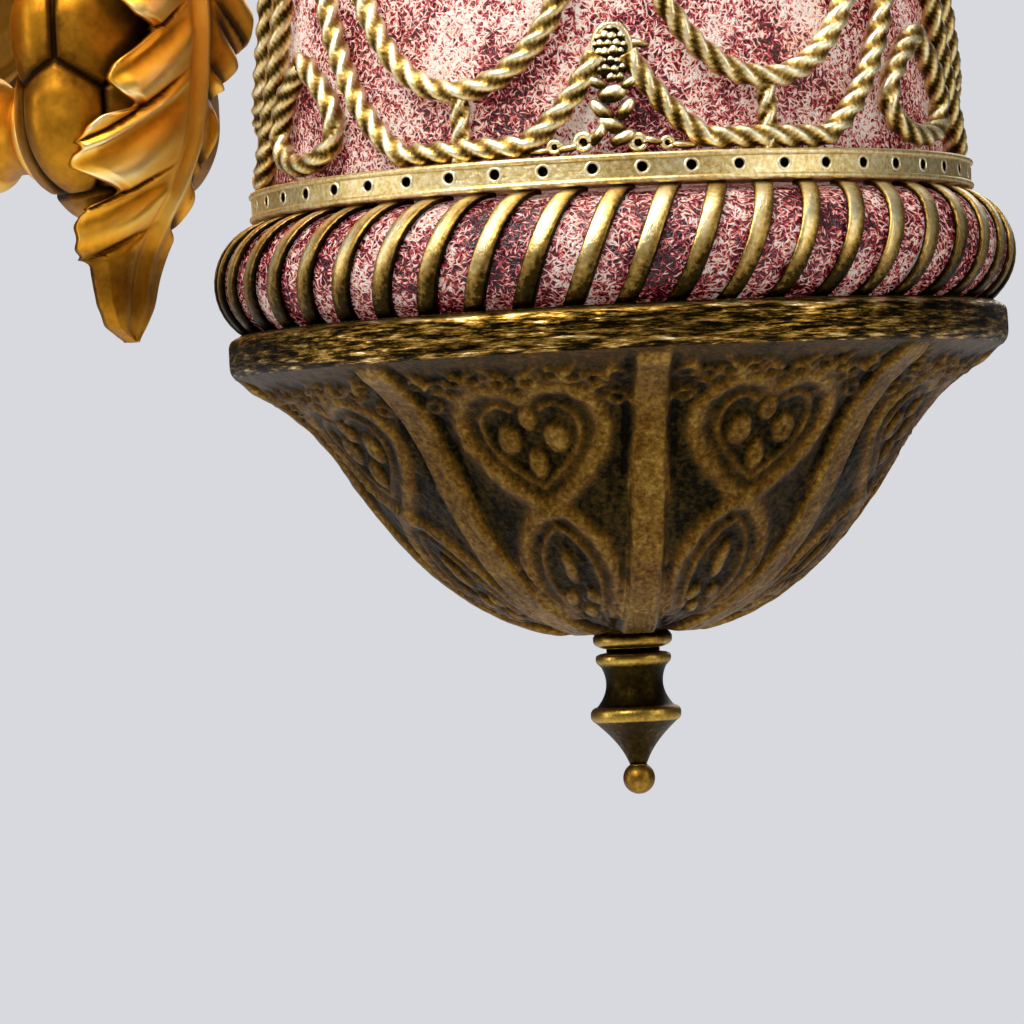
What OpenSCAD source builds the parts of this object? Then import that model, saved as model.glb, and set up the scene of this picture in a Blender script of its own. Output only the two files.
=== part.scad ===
// Wall lantern for a sanctuary: a glass lantern in a soldered brass cage, hung
// from a gilded leaf bracket. Millimetres. +Z is up, the wall is the plane y = 0
// and the room is on the -Y side. The origin is on the wall, midway between the
// two fixing screws.

/* [Placement] */
// Distance from the wall to the lantern's axis
lantern_out = 185; // [180:1:195]
// Height of the bowl's underside
bowl_z = -240; // [-245:1:-235]

/* [Bowl and finial] */
// Radius of the bowl's rim
bowl_r = 87.6; // [87:0.2:89]
// Height of the bowl
bowl_h = 68; // [66:0.5:70]
// Sheet thickness of the bowl and the crown
shell_wall = 1.6; // [1.4:0.1:2]
// Radius of the threaded rod that holds the bowl
rod_r = 3; // [2.5:0.1:3.5]

/* [Gadroon rings] */
// Outer radius of the lower gadroon ring over its straps
gadroon_r = 90.4; // [89:0.2:92]
// Outer radius of the upper gadroon ring over its straps
upper_gadroon_r = 86; // [84:0.2:88]
// Height of the upper gadroon ring
upper_gadroon_h = 20; // [18:0.5:22]
// Number of straps round each gadroon ring
strap_count = 48; // [36:12:60]
// Width of a strap
strap_w = 4.6; // [4:0.2:6]

/* [Cage] */
// Clear height between the two bands
cage_h = 130; // [120:1:140]
// Outer radius of the lower band
band_r = 80.8; // [80:0.2:82]
// Outer radius of the upper band
upper_band_r = 76.2; // [75:0.2:78]
// Height of a band
band_h = 6.5; // [6:0.5:8]
// Number of eyelet holes round a band
hole_count = 48; // [24:12:60]
// Diameter of the rope wire
rope_d = 5.3; // [4.5:0.1:5.6]

/* [Suspension] */
// Wire radius of the hanging link
link_wire = 1.8; // [1.6:0.1:2]
// Wire radius of the eye and the lantern's loop
eye_wire = 2.2; // [2:0.1:2.4]

/* [Wall plate] */
// Width of the wall plate
plate_w = 104; // [96:1:112]
// Height of the wall plate
plate_h = 244; // [236:1:250]
// Depth of the wall plate
plate_d = 14; // [13:0.5:16]
// Distance between the two wall screws
screw_spacing = 70; // [66:1:74]
// Diameter of the wall screw holes
screw_hole_d = 5; // [4:0.5:6]

/* [Hidden] */
$fn = 64;

// Working clearance between two pieces that turn or slide on each other
running = 0.05;

// Lantern levels, counted up from the bowl's underside
ring_t = 1.8;
base_z = bowl_h;
gadroon_z = base_z + ring_t;
band_z = bowl_h + 27.2;
flange_t = 1.5;
cage_z = band_z + band_h;
cage_top_z = cage_z + cage_h;
upper_gadroon_z = cage_top_z + band_h;
cornice_z = upper_gadroon_z + upper_gadroon_h;
cornice_h = 6;
crown_z = cornice_z + cornice_h;
crown_h = 54;
crown_top_z = crown_z + crown_h;
collar_h = 12;
loop_z = crown_top_z + collar_h;

// Gadroon hoops: section radius over the straps, and how far a strap turns from foot to head
lower_hoop_r = 13.9;
lower_hoop_z = bowl_h + 13.4;
upper_hoop_r = 11.2;
strap_t = 1.1;
hoop_gap = 1.5;
lean = 1.15 * 360 / strap_count;

// Light fitting: the holder hangs mouth down under the crown
holder_z = crown_top_z - 72;
cap_r = 13.2;
bulb_r = 30;
bulb_centre_z = holder_z - 50;

// Cage radii
seal_t = 1.5;
glass_t = 3;
glass_low_r = band_r - rope_d - 0.2;
glass_high_r = upper_band_r - rope_d - 0.2;

// Rope pattern: each palmette has an oval and a swag on either side
palmette_count = 3;
palmette_at = 90;
oval_angle = 25;
oval_half_w = 21.8;
oval_half_h = 0.381 * cage_h;
swag_half_w = 29.8;
swag_half_h = cage_h / 2 + 1.5;
swag_cut = 41;
swag_foot = rope_d / 2 + 0.1;
teardrop_h = 26;

// Suspension: each wire rests on the next with its running clearance
loop_ring_r = 8;
loop_base_h = 8;
link_ring_r = 6;
link_leg = 10;
wire_rest = link_wire + eye_wire + 2 * running;
loop_centre_z = loop_z + loop_base_h + loop_ring_r - 0.5;
link_low_z = loop_centre_z + loop_ring_r - wire_rest;
link_high_z = link_low_z + 2 * link_ring_r + link_leg;
eye_low_z = link_high_z - wire_rest;
eye_centre_z = eye_low_z + loop_ring_r;

// Bracket: the arm runs in the plane x = 0, and its points are [y, z]
arm_r = 9;
arm_tip_r = 5;
arm_over_lantern_z = bowl_z + eye_centre_z + loop_ring_r + eye_wire + 6 + arm_r;
volute_centre = [-lantern_out - 47, arm_over_lantern_z - 24];
volute_start_r = 24;
volute_end_r = 9;
volute_turn = 405;
pod_centre = [0, -53, -115];
pod_size = [66, 38, 50];
pod_rise = 24;
pod_neck = [0, -57.5, -66];
pod_back_y = -36;
boss_r = 14;
upper_boss_z = 20;
stud_z = 55;

// ---------- helper functions ----------

function unit(v) = v / norm(v);

function tail(list) = [for (i = [1:len(list) - 1]) list[i]];

function backwards(list) = [for (i = [len(list) - 1:-1:0]) list[i]];

function bezier(a, b, c, d, steps = 8) = [
    for (i = [0:steps]) let (t = i / steps, u = 1 - t)
        u * u * u * a + 3 * u * u * t * b + 3 * u * t * t * c + t * t * t * d
];

// Smooth value at key k through a table of [key, value] rows
function smooth_lookup(k, table) = (lookup(k - 4, table) + 2 * lookup(k, table)
    + lookup(k + 4, table)) / 4;

// Outer curve of a bell-shaped shell from its foot to its rim, as [radius, height]
function bell(foot_r, waist_r, rim_r, h) = let (
    flare = rim_r - waist_r,
    waist = [waist_r, 0.553 * h]
) concat(
    bezier([foot_r, 0], [0.59 * waist_r, 0.03 * h], [0.845 * waist_r, 0.334 * h], waist),
    tail(bezier(waist, [waist_r + 0.22 * flare, 0.69 * h],
        [waist_r + 0.49 * flare, 0.807 * h], [rim_r, 0.887 * h]))
);

// Ring of n points round p, across direction t, counted from the side that faces out
function ring(p, t, out, r, n) = let (b = unit(cross(t, out)), o = cross(b, t)) [
    for (i = [0:n - 1]) p + r * (cos(360 * i / n) * o + sin(360 * i / n) * b)
];

// Direction of a path at point i, for an open or a closed path
function heading(path, i, closed) = let (
    n = len(path),
    before = closed ? (i + n - 1) % n : max(i - 1, 0),
    after = closed ? (i + 1) % n : min(i + 1, n - 1)
) unit(path[after] - path[before]);

// Solid skin over a list of rings that all have the same number of points
module skin(rings, closed = false) {
    n = len(rings[0]);
    m = len(rings);
    last = closed ? m - 1 : m - 2;
    sides = [
        for (i = [0:last], j = [0:n - 1]) let (
            a = i * n + j,
            b = i * n + (j + 1) % n,
            c = ((i + 1) % m) * n + (j + 1) % n,
            d = ((i + 1) % m) * n + j
        ) each [[a, d, c], [a, c, b]]
    ];
    caps = closed ? [] : [
        [for (j = [0:n - 1]) j],
        [for (j = [n - 1:-1:0]) (m - 1) * n + j]
    ];
    polyhedron([for (r = rings) each r], concat(sides, caps));
}

// Rope lying on the cage, along a path of [angle, height above the lower band]
module cage_rope(path, closed) {
    points = [for (p = path) on_cage(p[0], p[1], rope_axis_r(p[1]))];
    skin([
        for (i = [0:len(points) - 1])
            ring(points[i], heading(points, i, closed),
                [cos(path[i][0]), sin(path[i][0]), 0], rope_d / 2, 6)
    ], closed);
}

function glass_r(h) = glass_low_r + (glass_high_r - glass_low_r) * h / cage_h;

function rope_axis_r(h) = glass_r(h) + rope_d / 2 + 0.1;

function on_cage(angle, h, r) = [r * cos(angle), r * sin(angle), cage_z + h];

// Places what it is given once at each palmette, at the foot and at the head of the cage
module at_palmettes() {
    for (i = [0:palmette_count - 1])
        rotate([0, 0, palmette_at + i * 360 / palmette_count]) children();
}

module head_and_foot() {
    children();
    translate([0, 0, 2 * cage_z + cage_h]) mirror([0, 0, 1]) children();
}

// Puts a lantern piece, drawn about its own axis, where the lantern hangs
module at_lantern() {
    translate([0, -lantern_out, bowl_z]) children();
}

module tube(r_out, r_in, h) {
    difference() {
        cylinder(r = r_out, h = h);
        translate([0, 0, -1]) cylinder(r = r_in, h = h + 2);
    }
}

module hex_nut(r_flat, r_hole, h) {
    difference() {
        cylinder(r = r_flat / cos(30), h = h, $fn = 6);
        translate([0, 0, -1]) cylinder(r = r_hole, h = h + 2);
    }
}

// ---------- wall plate and its fixings ----------

module stadium(w, h) {
    square([w, h - w], center = true);
    for (s = [-1, 1]) translate([0, s * (h - w) / 2]) circle(d = w);
}

// Stands a flat outline against the wall, from y = -from to y = -to
module on_wall(from, to) {
    translate([0, -from, 0]) rotate([90, 0, 0]) linear_extrude(to - from) children();
}

module mounting_strap() {
    color("lightgray") on_wall(0, 2) difference() {
        stadium(25, 134);
        for (s = [-1, 1]) {
            translate([0, s * screw_spacing / 2]) circle(d = screw_hole_d);
            translate([0, s * stud_z]) circle(r = 2.5);
        }
    }
}

module strap_studs() {
    color("silver") for (s = [-1, 1]) translate([0, -0.2, s * stud_z]) rotate([90, 0, 0])
        cylinder(r = 2.45, h = plate_d + 5.8);
}

module earth_screw() {
    color("gold") translate([0, -2, -22]) rotate([90, 0, 0]) {
        cylinder(r = 3.5, h = 2.4);
    }
}

module terminal_block() {
    color("white") difference() {
        translate([-10, -10, -9]) cube([20, 8, 18]);
        for (x = [-5, 5], z = [-4.5, 4.5])
            translate([x, -4, z]) rotate([90, 0, 0]) cylinder(r = 1.6, h = 8);
    }
}

module wall_plate() {
    rim = 3;
    step = 7;
    color("goldenrod") difference() {
        union() {
            on_wall(0, plate_d - 5) stadium(plate_w, plate_h);
            on_wall(plate_d - 5, plate_d) stadium(plate_w - 2 * step, plate_h - 2 * step);
        }
        on_wall(-1, plate_d - 3) stadium(plate_w - 2 * step - 2 * rim, plate_h - 2 * step - 2 * rim);
        for (s = [-1, 1]) on_wall(-1, plate_d + 1) translate([0, s * stud_z]) circle(r = 2.7);
        on_wall(-1, plate_d + 1) translate([0, upper_boss_z]) circle(r = 4);
    }
}

module cap_nuts() {
    color("goldenrod") for (s = [-1, 1]) translate([0, -plate_d, s * stud_z]) rotate([90, 0, 0])
        difference() {
            union() {
                cylinder(r = 5.4, h = 5, $fn = 6);
                translate([0, 0, 4]) sphere(r = 4.4);
            }
            translate([0, 0, -5]) cylinder(r = 2.5, h = 11);
        }
}

module lower_boss() {
    color("goldenrod") on_wall(plate_d, -pod_back_y) translate([0, pod_centre[2]])
        circle(r = boss_r);
}

module upper_boss() {
    color("goldenrod") difference() {
        union() {
            on_wall(plate_d, plate_d + 4) translate([0, upper_boss_z]) circle(r = 15);
            on_wall(plate_d + 4, 45) translate([0, upper_boss_z]) circle(r = 8);
        }
        on_wall(plate_d - 1, 40) translate([0, upper_boss_z]) circle(r = 4);
    }
}

// ---------- bracket ----------

function arm_path() = concat(
    bezier([-60, -96], [-60, -40], [-38, 20], [-60, 76], 12),
    tail(bezier([-60, 76], [-76, 118], [-118, arm_over_lantern_z + 14],
        [-lantern_out, arm_over_lantern_z], 12)),
    tail(bezier([-lantern_out, arm_over_lantern_z], [-lantern_out - 20, arm_over_lantern_z - 4],
        [volute_centre[0] + 14, volute_centre[1] + volute_start_r],
        [volute_centre[0], volute_centre[1] + volute_start_r], 4)),
    [for (i = [1:22]) let (
        t = i / 22,
        a = 90 + volute_turn * t,
        r = volute_start_r + (volute_end_r - volute_start_r) * t
    ) volute_centre + r * [cos(a), sin(a)]]
);

module scroll_arm() {
    flat = arm_path();
    path = [for (p = flat) [0, p[0], p[1]]];
    n = len(path);
    color("goldenrod") skin([
        for (i = [0:n - 1]) let (t = max(0, (i - 12) / (n - 13)))
            ring(path[i], heading(path, i, false), [1, 0, 0],
                arm_r + (arm_tip_r - arm_r) * t, 12)
    ]);
}

module volute_pearl() {
    tip = arm_path()[len(arm_path()) - 1];
    color("goldenrod") translate([0, tip[0], tip[1]]) sphere(r = arm_tip_r + 2.4);
}

module bracket_pod() {
    color("goldenrod") difference() {
        hull() {
            for (rise = [0, pod_rise]) translate(pod_centre + [0, 0, rise])
                resize(pod_size) sphere(r = 25, $fn = 32);
            translate(pod_neck) sphere(r = arm_r + 1, $fn = 32);
        }
        translate([-40, pod_back_y, pod_centre[2] - 40]) cube([80, 40, 100]);
    }
}

// Lobed leaf sheet in rows across x, each a parabola about the midrib. Every table is
// [height, value]: the midrib's y, and for each side of it the half-width and the bend
module leaf_sheet(mid, near_w, far_w, near_bend, far_bend, thick) {
    across = 8;
    keys = [for (row = near_w) row[0]];
    function row(k, side) = [
        for (j = [0:across]) let (
            s = 2 * j / across - 1,
            x = s * lookup(k, s < 0 ? near_w : far_w),
            bend = lookup(k, s < 0 ? near_bend : far_bend)
        ) [x, smooth_lookup(k, mid) + bend * x * x + side, k]
    ];
    skin([for (k = keys) concat(row(k, thick), backwards(row(k, 0)))]);
}

module acanthus_leaf() {
    mid = [[-167.3, -54.6], [-162, -56.9], [-157.4, -57.7], [-153, -58.3], [-147, -60.5],
        [-141.5, -63.9], [-138.2, -66], [-134, -69], [-128, -72.3], [-121, -75.4],
        [-107.6, -77.6], [-94, -78.7], [-80, -78.4], [-60, -75.5], [-40, -70.8], [-8, -64.4]];
    near_w = [[-167.3, 0.6], [-163.7, 8.9], [-158.6, 12.3], [-152.7, 13.5], [-148, 15],
        [-145.8, 19.4], [-140.5, 20.3], [-135.7, 20.8], [-133, 15], [-130, 24], [-127, 28.9],
        [-118.4, 30.9], [-115.3, 28.8], [-113.5, 18.2], [-111, 25.6], [-107.3, 27.7],
        [-103, 26.6], [-99.5, 20.7], [-95.4, 15.8], [-93, 24.5], [-86, 27], [-80, 24],
        [-76, 15.5], [-70, 23], [-62, 21], [-57.5, 12.5], [-50, 17.5], [-43, 15], [-40, 9.5],
        [-30, 12.5], [-20, 9], [-8, 4]];
    far_w = [[-167.3, 0.6], [-160, 5], [-148, 7], [-112, 7.5], [-108, 11], [-103, 17],
        [-98, 22.5], [-90, 24], [-80, 21], [-76, 13], [-70, 20], [-62, 19], [-57.5, 12.5],
        [-50, 16], [-43, 14], [-40, 9.5], [-30, 12.5], [-20, 9], [-8, 4]];
    near_bend = [[-167.3, 0.022], [-158, 0.024], [-150.7, 0.028], [-138, 0.0185],
        [-130, 0.0145], [-121, 0.0118], [-114, 0.0094], [-98, 0.004], [-86, 0.006],
        [-60, 0.02], [-40, 0.04], [-8, 0.06]];
    far_bend = [[-167.3, 0.04], [-112, 0.02], [-98, 0.003], [-86, 0.006], [-60, 0.02],
        [-40, 0.04], [-8, 0.06]];
    color("goldenrod") difference() {
        leaf_sheet(mid, near_w, far_w, near_bend, far_bend, 1.5);
        for (z = [-56, -24]) translate([0, -90, z]) rotate([-90, 0, 0]) cylinder(r = 2.1, h = 40);
    }
}

// Smaller leaf that rides on the outer side of the arm's upper bend
module upper_leaf() {
    stations = [9:1:21];
    flat = arm_path();
    path = [for (p = flat) [0, p[0], p[1]]];
    color("goldenrod") skin([
        for (i = stations) let (
            u = (i - 9) / 12,
            t = heading(path, i, false),
            lift = cross([1, 0, 0], t),
            w = 3 + 17 * sin(180 * pow(u, 0.7)),
            up = -(arm_r + 2.2 + 6 * u * u)
        ) concat(
            [for (j = [0:6]) let (s = j / 3 - 1)
                path[i] + [s * w, 0, 0] + (up + 9 * s * s * sin(180 * u)) * lift],
            [for (j = [6:-1:0]) let (s = j / 3 - 1)
                path[i] + [s * w, 0, 0] + (up + 1.6 + 9 * s * s * sin(180 * u)) * lift]
        )
    ]);
}

module leaf_screws() {
    color("gold") for (p = [[-75.6, -56], [-68.5, -24]]) translate([0, p[0], p[1]])
        rotate([-90, 0, 0]) {
            cylinder(r = 2, h = 15);
            translate([0, 0, -1.2]) cylinder(r = 3.6, h = 2);
        }
}

module arm_eye() {
    color("goldenrod") at_lantern() translate([0, 0, eye_centre_z]) {
        rotate([0, 90, 0]) rotate_extrude() translate([loop_ring_r, 0]) circle(r = eye_wire);
        translate([0, 0, loop_ring_r]) cylinder(r = 3, h = 12);
        translate([0, 0, loop_ring_r + eye_wire + 1.5]) cylinder(r = 6, h = 5);
    }
}

module hanging_link() {
    color("goldenrod") at_lantern() rotate([90, 0, 0]) {
        for (s = [0, 1]) translate([0, s ? link_high_z - link_ring_r : link_low_z + link_ring_r, 0])
            rotate([0, 0, s ? 0 : 180]) rotate_extrude(angle = 180)
                translate([link_ring_r, 0]) circle(r = link_wire);
        for (s = [-1, 1]) translate([s * link_ring_r, link_low_z + link_ring_r, 0])
            rotate([-90, 0, 0]) cylinder(r = link_wire, h = link_leg);
    }
}

// ---------- crown ----------

module top_loop() {
    color("darkgoldenrod") at_lantern() difference() {
        union() {
            translate([0, 0, loop_centre_z]) rotate([0, 90, 0]) rotate_extrude()
                translate([loop_ring_r, 0]) circle(r = eye_wire);
            translate([0, 0, loop_z]) cylinder(r = 8, h = loop_base_h - 2);
            translate([0, 0, loop_z + loop_base_h - 2]) cylinder(r1 = 8, r2 = 4, h = 2.5);
        }
        translate([0, 0, loop_z - 1]) cylinder(r = 5 + running, h = 5);
    }
}

module loop_collar() {
    color("darkgoldenrod") at_lantern() translate([0, 0, crown_top_z]) rotate_extrude()
        polygon(concat([[5 + running, 0], [15, 0], [15, 2.5]],
            bezier([12, 3.5], [8, 5], [8, 7], [11, 8.5], 6),
            [[12.5, 9.5], [12.5, 11], [11, collar_h], [5 + running, collar_h]]));
}

module nipple() {
    color("silver") at_lantern() translate([0, 0, crown_top_z - 24]) tube(5, 3.5, collar_h + 27);
}

module nipple_nut() {
    color("silver") at_lantern() translate([0, 0, crown_top_z - shell_wall - 3])
        hex_nut(8, 5 + running, 3);
}

// Bell-shaped shell standing on its foot. Its rim has a flat land inside, and an upstand round
// the land where a ring has to sit in it
module bell_shell(foot_r, waist_r, rim_r, land_r, h, wall, hole_r, upstand = 0) {
    outer = bell(foot_r, waist_r, rim_r - 1.2, h);
    inner = [for (p = bell(foot_r - wall, waist_r - 1.1 * wall, land_r, h)) p + [0, wall]];
    top = h + upstand;
    rim_top = concat([[rim_r, 0.915 * h], [rim_r, top - 2], [rim_r - 0.8, top - 0.5],
        [rim_r - 2.2, top]], upstand > 0 ? [[rim_r - 2.2, h]] : [], [[land_r, h]]);
    rotate_extrude()
        polygon(concat([[hole_r, 0]], outer, rim_top, backwards(inner), [[hole_r, wall]]));
}

module crown_dome() {
    color("darkgoldenrod") at_lantern() translate([0, 0, crown_top_z]) mirror([0, 0, 1])
        bell_shell(15, 54, 82, 76, crown_h, shell_wall, 5 + running);
}

module cornice_ring() {
    color("darkgoldenrod") at_lantern() translate([0, 0, cornice_z]) rotate_extrude()
        polygon([[66, 0], [82, 0], [84.5, 1], [86, 2.6], [86, 4], [84.6, 5.4], [83, cornice_h],
            [66, cornice_h]]);
}

// ---------- gadroon rings ----------

// Half-round glass hoop of section radius r, cut flat underneath at height -below
module hoop_glass(centre_r, r, wall, below) {
    rotate_extrude() translate([centre_r, 0]) intersection() {
        difference() {
            circle(r = r);
            circle(r = r - wall);
        }
        translate([0, -below]) square([r + 1, below + r + 1]);
    }
}

// Leaning flat straps over the hoop, from height -below to height above of its centre
module hoop_straps(centre_r, r, thick, below, above, lean) {
    steps = 6;
    function arc_angle(rho, s) = let (
        low = asin(max(-1, -below / rho)),
        high = asin(min(1, above / rho))
    ) low + (high - low) * s;
    function corner(rho, s, side) = let (
        a = arc_angle(rho, s),
        radius = centre_r + rho * cos(a),
        turn = lean * s + side * asin(strap_w / 2 / radius)
    ) [radius * cos(turn), radius * sin(turn), rho * sin(a)];
    for (i = [0:strap_count - 1]) rotate([0, 0, 360 * i / strap_count]) skin([
        for (k = [0:steps]) let (s = k / steps) [
            corner(r - thick, s, -1), corner(r, s, -1), corner(r, s, 1), corner(r - thick, s, 1)
        ]
    ]);
}

module lower_gadroon_glass() {
    color("pink") at_lantern() translate([0, 0, lower_hoop_z])
        hoop_glass(gadroon_r - lower_hoop_r, lower_hoop_r - hoop_gap, glass_t,
            lower_hoop_z - gadroon_z);
}

module lower_gadroon_straps() {
    color("darkgoldenrod") at_lantern() translate([0, 0, lower_hoop_z])
        hoop_straps(gadroon_r - lower_hoop_r, lower_hoop_r, strap_t,
            lower_hoop_z - gadroon_z, band_z - lower_hoop_z, lean);
}

module upper_gadroon_glass() {
    color("pink") at_lantern() translate([0, 0, upper_gadroon_z + upper_gadroon_h / 2])
        hoop_glass(upper_gadroon_r - upper_hoop_r, upper_hoop_r - hoop_gap, glass_t - 0.5,
            upper_gadroon_h / 2);
}

module upper_gadroon_straps() {
    color("darkgoldenrod") at_lantern()
        translate([0, 0, upper_gadroon_z + upper_gadroon_h / 2])
            hoop_straps(upper_gadroon_r - upper_hoop_r, upper_hoop_r, strap_t,
                upper_gadroon_h / 2, upper_gadroon_h / 2, -lean);
}

module base_ring() {
    color("darkgoldenrod") at_lantern() translate([0, 0, base_z])
        tube(bowl_r - 2.6, 64, ring_t);
}

// ---------- cage ----------

// Perforated band: an angle section whose flange points inwards below
module band(r, flange_r) {
    wall = 1.5;
    bead = 0.7;
    difference() {
        rotate_extrude() {
            translate([r - wall, 0]) square([wall, band_h]);
            translate([flange_r, 0]) square([r - wall - flange_r, flange_t]);
            for (z = [bead, band_h - bead]) translate([r, z]) circle(r = bead);
        }
        for (i = [0:hole_count - 1]) rotate([0, 0, (i + 0.5) * 360 / hole_count])
            translate([r - wall - 1, 0, band_h / 2 + 0.2]) rotate([0, 90, 0])
                cylinder(r = 1.1, h = wall + 2);
    }
}

module lower_band() {
    color("darkgoldenrod") at_lantern() translate([0, 0, band_z])
        band(band_r, glass_low_r - 5);
}

module upper_band() {
    color("darkgoldenrod") at_lantern() translate([0, 0, upper_gadroon_z]) mirror([0, 0, 1])
        band(upper_band_r, glass_high_r - 5);
}

module lower_seal() {
    color("dimgray") at_lantern() translate([0, 0, band_z + flange_t])
        tube(glass_low_r + 0.6, glass_low_r - glass_t, seal_t);
}

module upper_seal() {
    color("dimgray") at_lantern() translate([0, 0, upper_gadroon_z - flange_t - seal_t])
        tube(glass_high_r + 0.6, glass_high_r - glass_t, seal_t);
}

module glass_cylinder() {
    low = band_z + flange_t + seal_t;
    high = upper_gadroon_z - flange_t - seal_t;
    low_r = glass_r(low - cage_z);
    high_r = glass_r(high - cage_z);
    color("lightpink") at_lantern() rotate_extrude()
        polygon([[low_r - glass_t, low], [low_r, low], [high_r, high], [high_r - glass_t, high]]);
}

module rope_ovals() {
    color("darkgoldenrod") at_lantern() at_palmettes() for (side = [-1, 1])
        cage_rope([for (i = [0:27]) let (a = 360 * i / 28)
            [side * oval_angle + oval_half_w * cos(a), cage_h / 2 + oval_half_h * sin(a)]], true);
}

module rope_swags() {
    color("darkgoldenrod") at_lantern() at_palmettes() for (side = [-1, 1])
        cage_rope([for (i = [0:24]) let (
            a = 180 + swag_cut + (360 - 2 * swag_cut) * i / 24,
            h = cage_h / 2 + swag_half_h * sin(a)
        ) [side * (oval_angle + swag_half_w * cos(a)),
            min(max(h, swag_foot), cage_h - swag_foot)]], false);
}

module rope_ties() {
    color("darkgoldenrod") at_lantern() head_and_foot() at_palmettes() for (side = [-1, 1])
        rotate([0, 0, side * oval_angle])
            translate([(glass_low_r + glass_high_r) / 2 + rope_d / 2 + 0.2, 0, cage_z])
                cylinder(r = 2.1, h = (cage_h / 2 - oval_half_h) - 2);
}

module teardrops() {
    low = rope_d / 2 + 0.9;
    rise = (teardrop_h - low) / 2;
    color("darkgoldenrod") at_lantern() for (foot = [0, 1]) at_palmettes()
        cage_rope([for (i = [0:17]) let (
            a = 360 * (i + 0.5) / 18,
            h = low + rise + rise * cos(a)
        ) [60 + 12 * sin(a) * sin(a / 2), foot ? h : cage_h - h]], true);
}

// Cast palmette: a bud between two leaves on a small base
module palmette(foot) {
    function at(angle, h) = let (y = foot ? h : cage_h - h)
        on_cage(angle, y, rope_axis_r(y) + 0.6);
    module bead(angle, h, r) translate(at(angle, h)) sphere(r = r, $fn = 10);
    hull() {
        bead(0, 26.4, 1.6);
        bead(0, 19, 3.2);
        bead(0, 8, 2);
    }
    for (s = [-1, 1]) hull() {
        bead(s * 1.5, 6, 2);
        bead(s * 5.2, 14, 2.2);
    }
    hull() {
        bead(-5.5, 3.3, 2.3);
        bead(5.5, 3.3, 2.3);
    }
}

module palmettes() {
    color("darkgoldenrod") at_lantern() at_palmettes() {
        palmette(true);
        palmette(false);
    }
}

// ---------- light fitting ----------

module lampholder_shell() {
    color("darkgoldenrod") at_lantern() translate([0, 0, holder_z]) rotate_extrude()
        polygon([[18.6, 0], [20, 0], [20, 44], [14, 50], [5 + running, 50], [5 + running, 48.4],
            [13.4, 48.4], [18.6, 43.2]]);
}

module lampholder_core() {
    color("ivory") at_lantern() difference() {
        translate([0, 0, holder_z + 2]) cylinder(r = 18.4, h = 38);
        translate([0, 0, holder_z - 1]) cylinder(r = cap_r + 0.6, h = 29);
    }
}

module bulb_cap() {
    color("silver") at_lantern() translate([0, 0, holder_z + 0.5]) {
        cylinder(r = cap_r, h = 22);
        translate([0, 0, 22]) cylinder(r1 = 8, r2 = 4, h = 4);
    }
}

module bulb_glass() {
    neck = holder_z + 0.5;
    wall = 1;
    function envelope(r, inset) = concat(
        [for (a = [-90:10:40]) [r * cos(a), bulb_centre_z + r * sin(a)]],
        tail(bezier([r * cos(40), bulb_centre_z + r * sin(40)],
            [r * cos(40) - 6, bulb_centre_z + r * sin(40) + 7.2],
            [cap_r - inset, neck - 16], [cap_r - inset, neck], 6)));
    color("white") at_lantern() rotate_extrude()
        polygon(concat(envelope(bulb_r, 0.4), backwards(envelope(bulb_r - wall, 0.4 + wall))));
}

module bulb_filaments() {
    color("orange") at_lantern() {
        translate([0, 0, bulb_centre_z + 8]) cylinder(r1 = 2, r2 = 6, h = holder_z - bulb_centre_z - 8);
        for (a = [0:90:270]) rotate([0, 0, a]) translate([7, 0, bulb_centre_z - 14])
            cylinder(r = 1, h = 34);
        translate([0, 0, bulb_centre_z + 19]) tube(8, 6, 1.2);
        translate([0, 0, bulb_centre_z + 17]) cylinder(r = 6.2, h = 2);
    }
}

module strap_bar() {
    color("silver") at_lantern() translate([0, 0, gadroon_z]) difference() {
        translate([-74, -6, 0]) cube([148, 12, 2]);
        translate([0, 0, -1]) cylinder(r = rod_r + running, h = 4);
    }
}

module centre_rod() {
    color("silver") at_lantern() translate([0, 0, -14]) cylinder(r = rod_r, h = gadroon_z + 22);
}

module rod_nuts() {
    color("silver") at_lantern() for (z = [gadroon_z - 4.6, gadroon_z + 2])
        translate([0, 0, z]) hex_nut(5, rod_r + running, 4.6);
}

// ---------- bowl and finial ----------

module bowl() {
    color("darkgoldenrod") at_lantern()
        bell_shell(10, 0.694 * bowl_r, bowl_r, bowl_r - 7.6, bowl_h, shell_wall, rod_r + 0.3,
            ring_t - 0.3);
}

module finial_washer() {
    color("darkgoldenrod") at_lantern() translate([0, 0, -4]) rotate_extrude()
        polygon([[rod_r + 0.3, 0], [6.5, 0], [8.9, 1.3], [8.9, 2.9], [7.6, 4], [rod_r + 0.3, 4]]);
}

module finial() {
    ball_r = 3.6;
    ball_z = -33.3;
    bore_end = -15;
    stem = concat(
        [[rod_r + running, -4], [6, -4], [6, -5], [8.5, -5.4], [8.5, -6.8]],
        bezier([7.3, -8], [6, -11], [6, -14], [8.8, -17.2], 6),
        [[10.2, -18.3], [10.2, -19.2]],
        bezier([9.2, -20.4], [6.5, -23], [3.4, -26], [2, -30], 6),
        [for (a = [60:-15:-90]) [ball_r * cos(a), ball_z + ball_r * sin(a)]],
        [[0, bore_end], [rod_r + running, bore_end]]
    );
    color("darkgoldenrod") at_lantern() rotate_extrude() polygon(stem);
}

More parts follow.
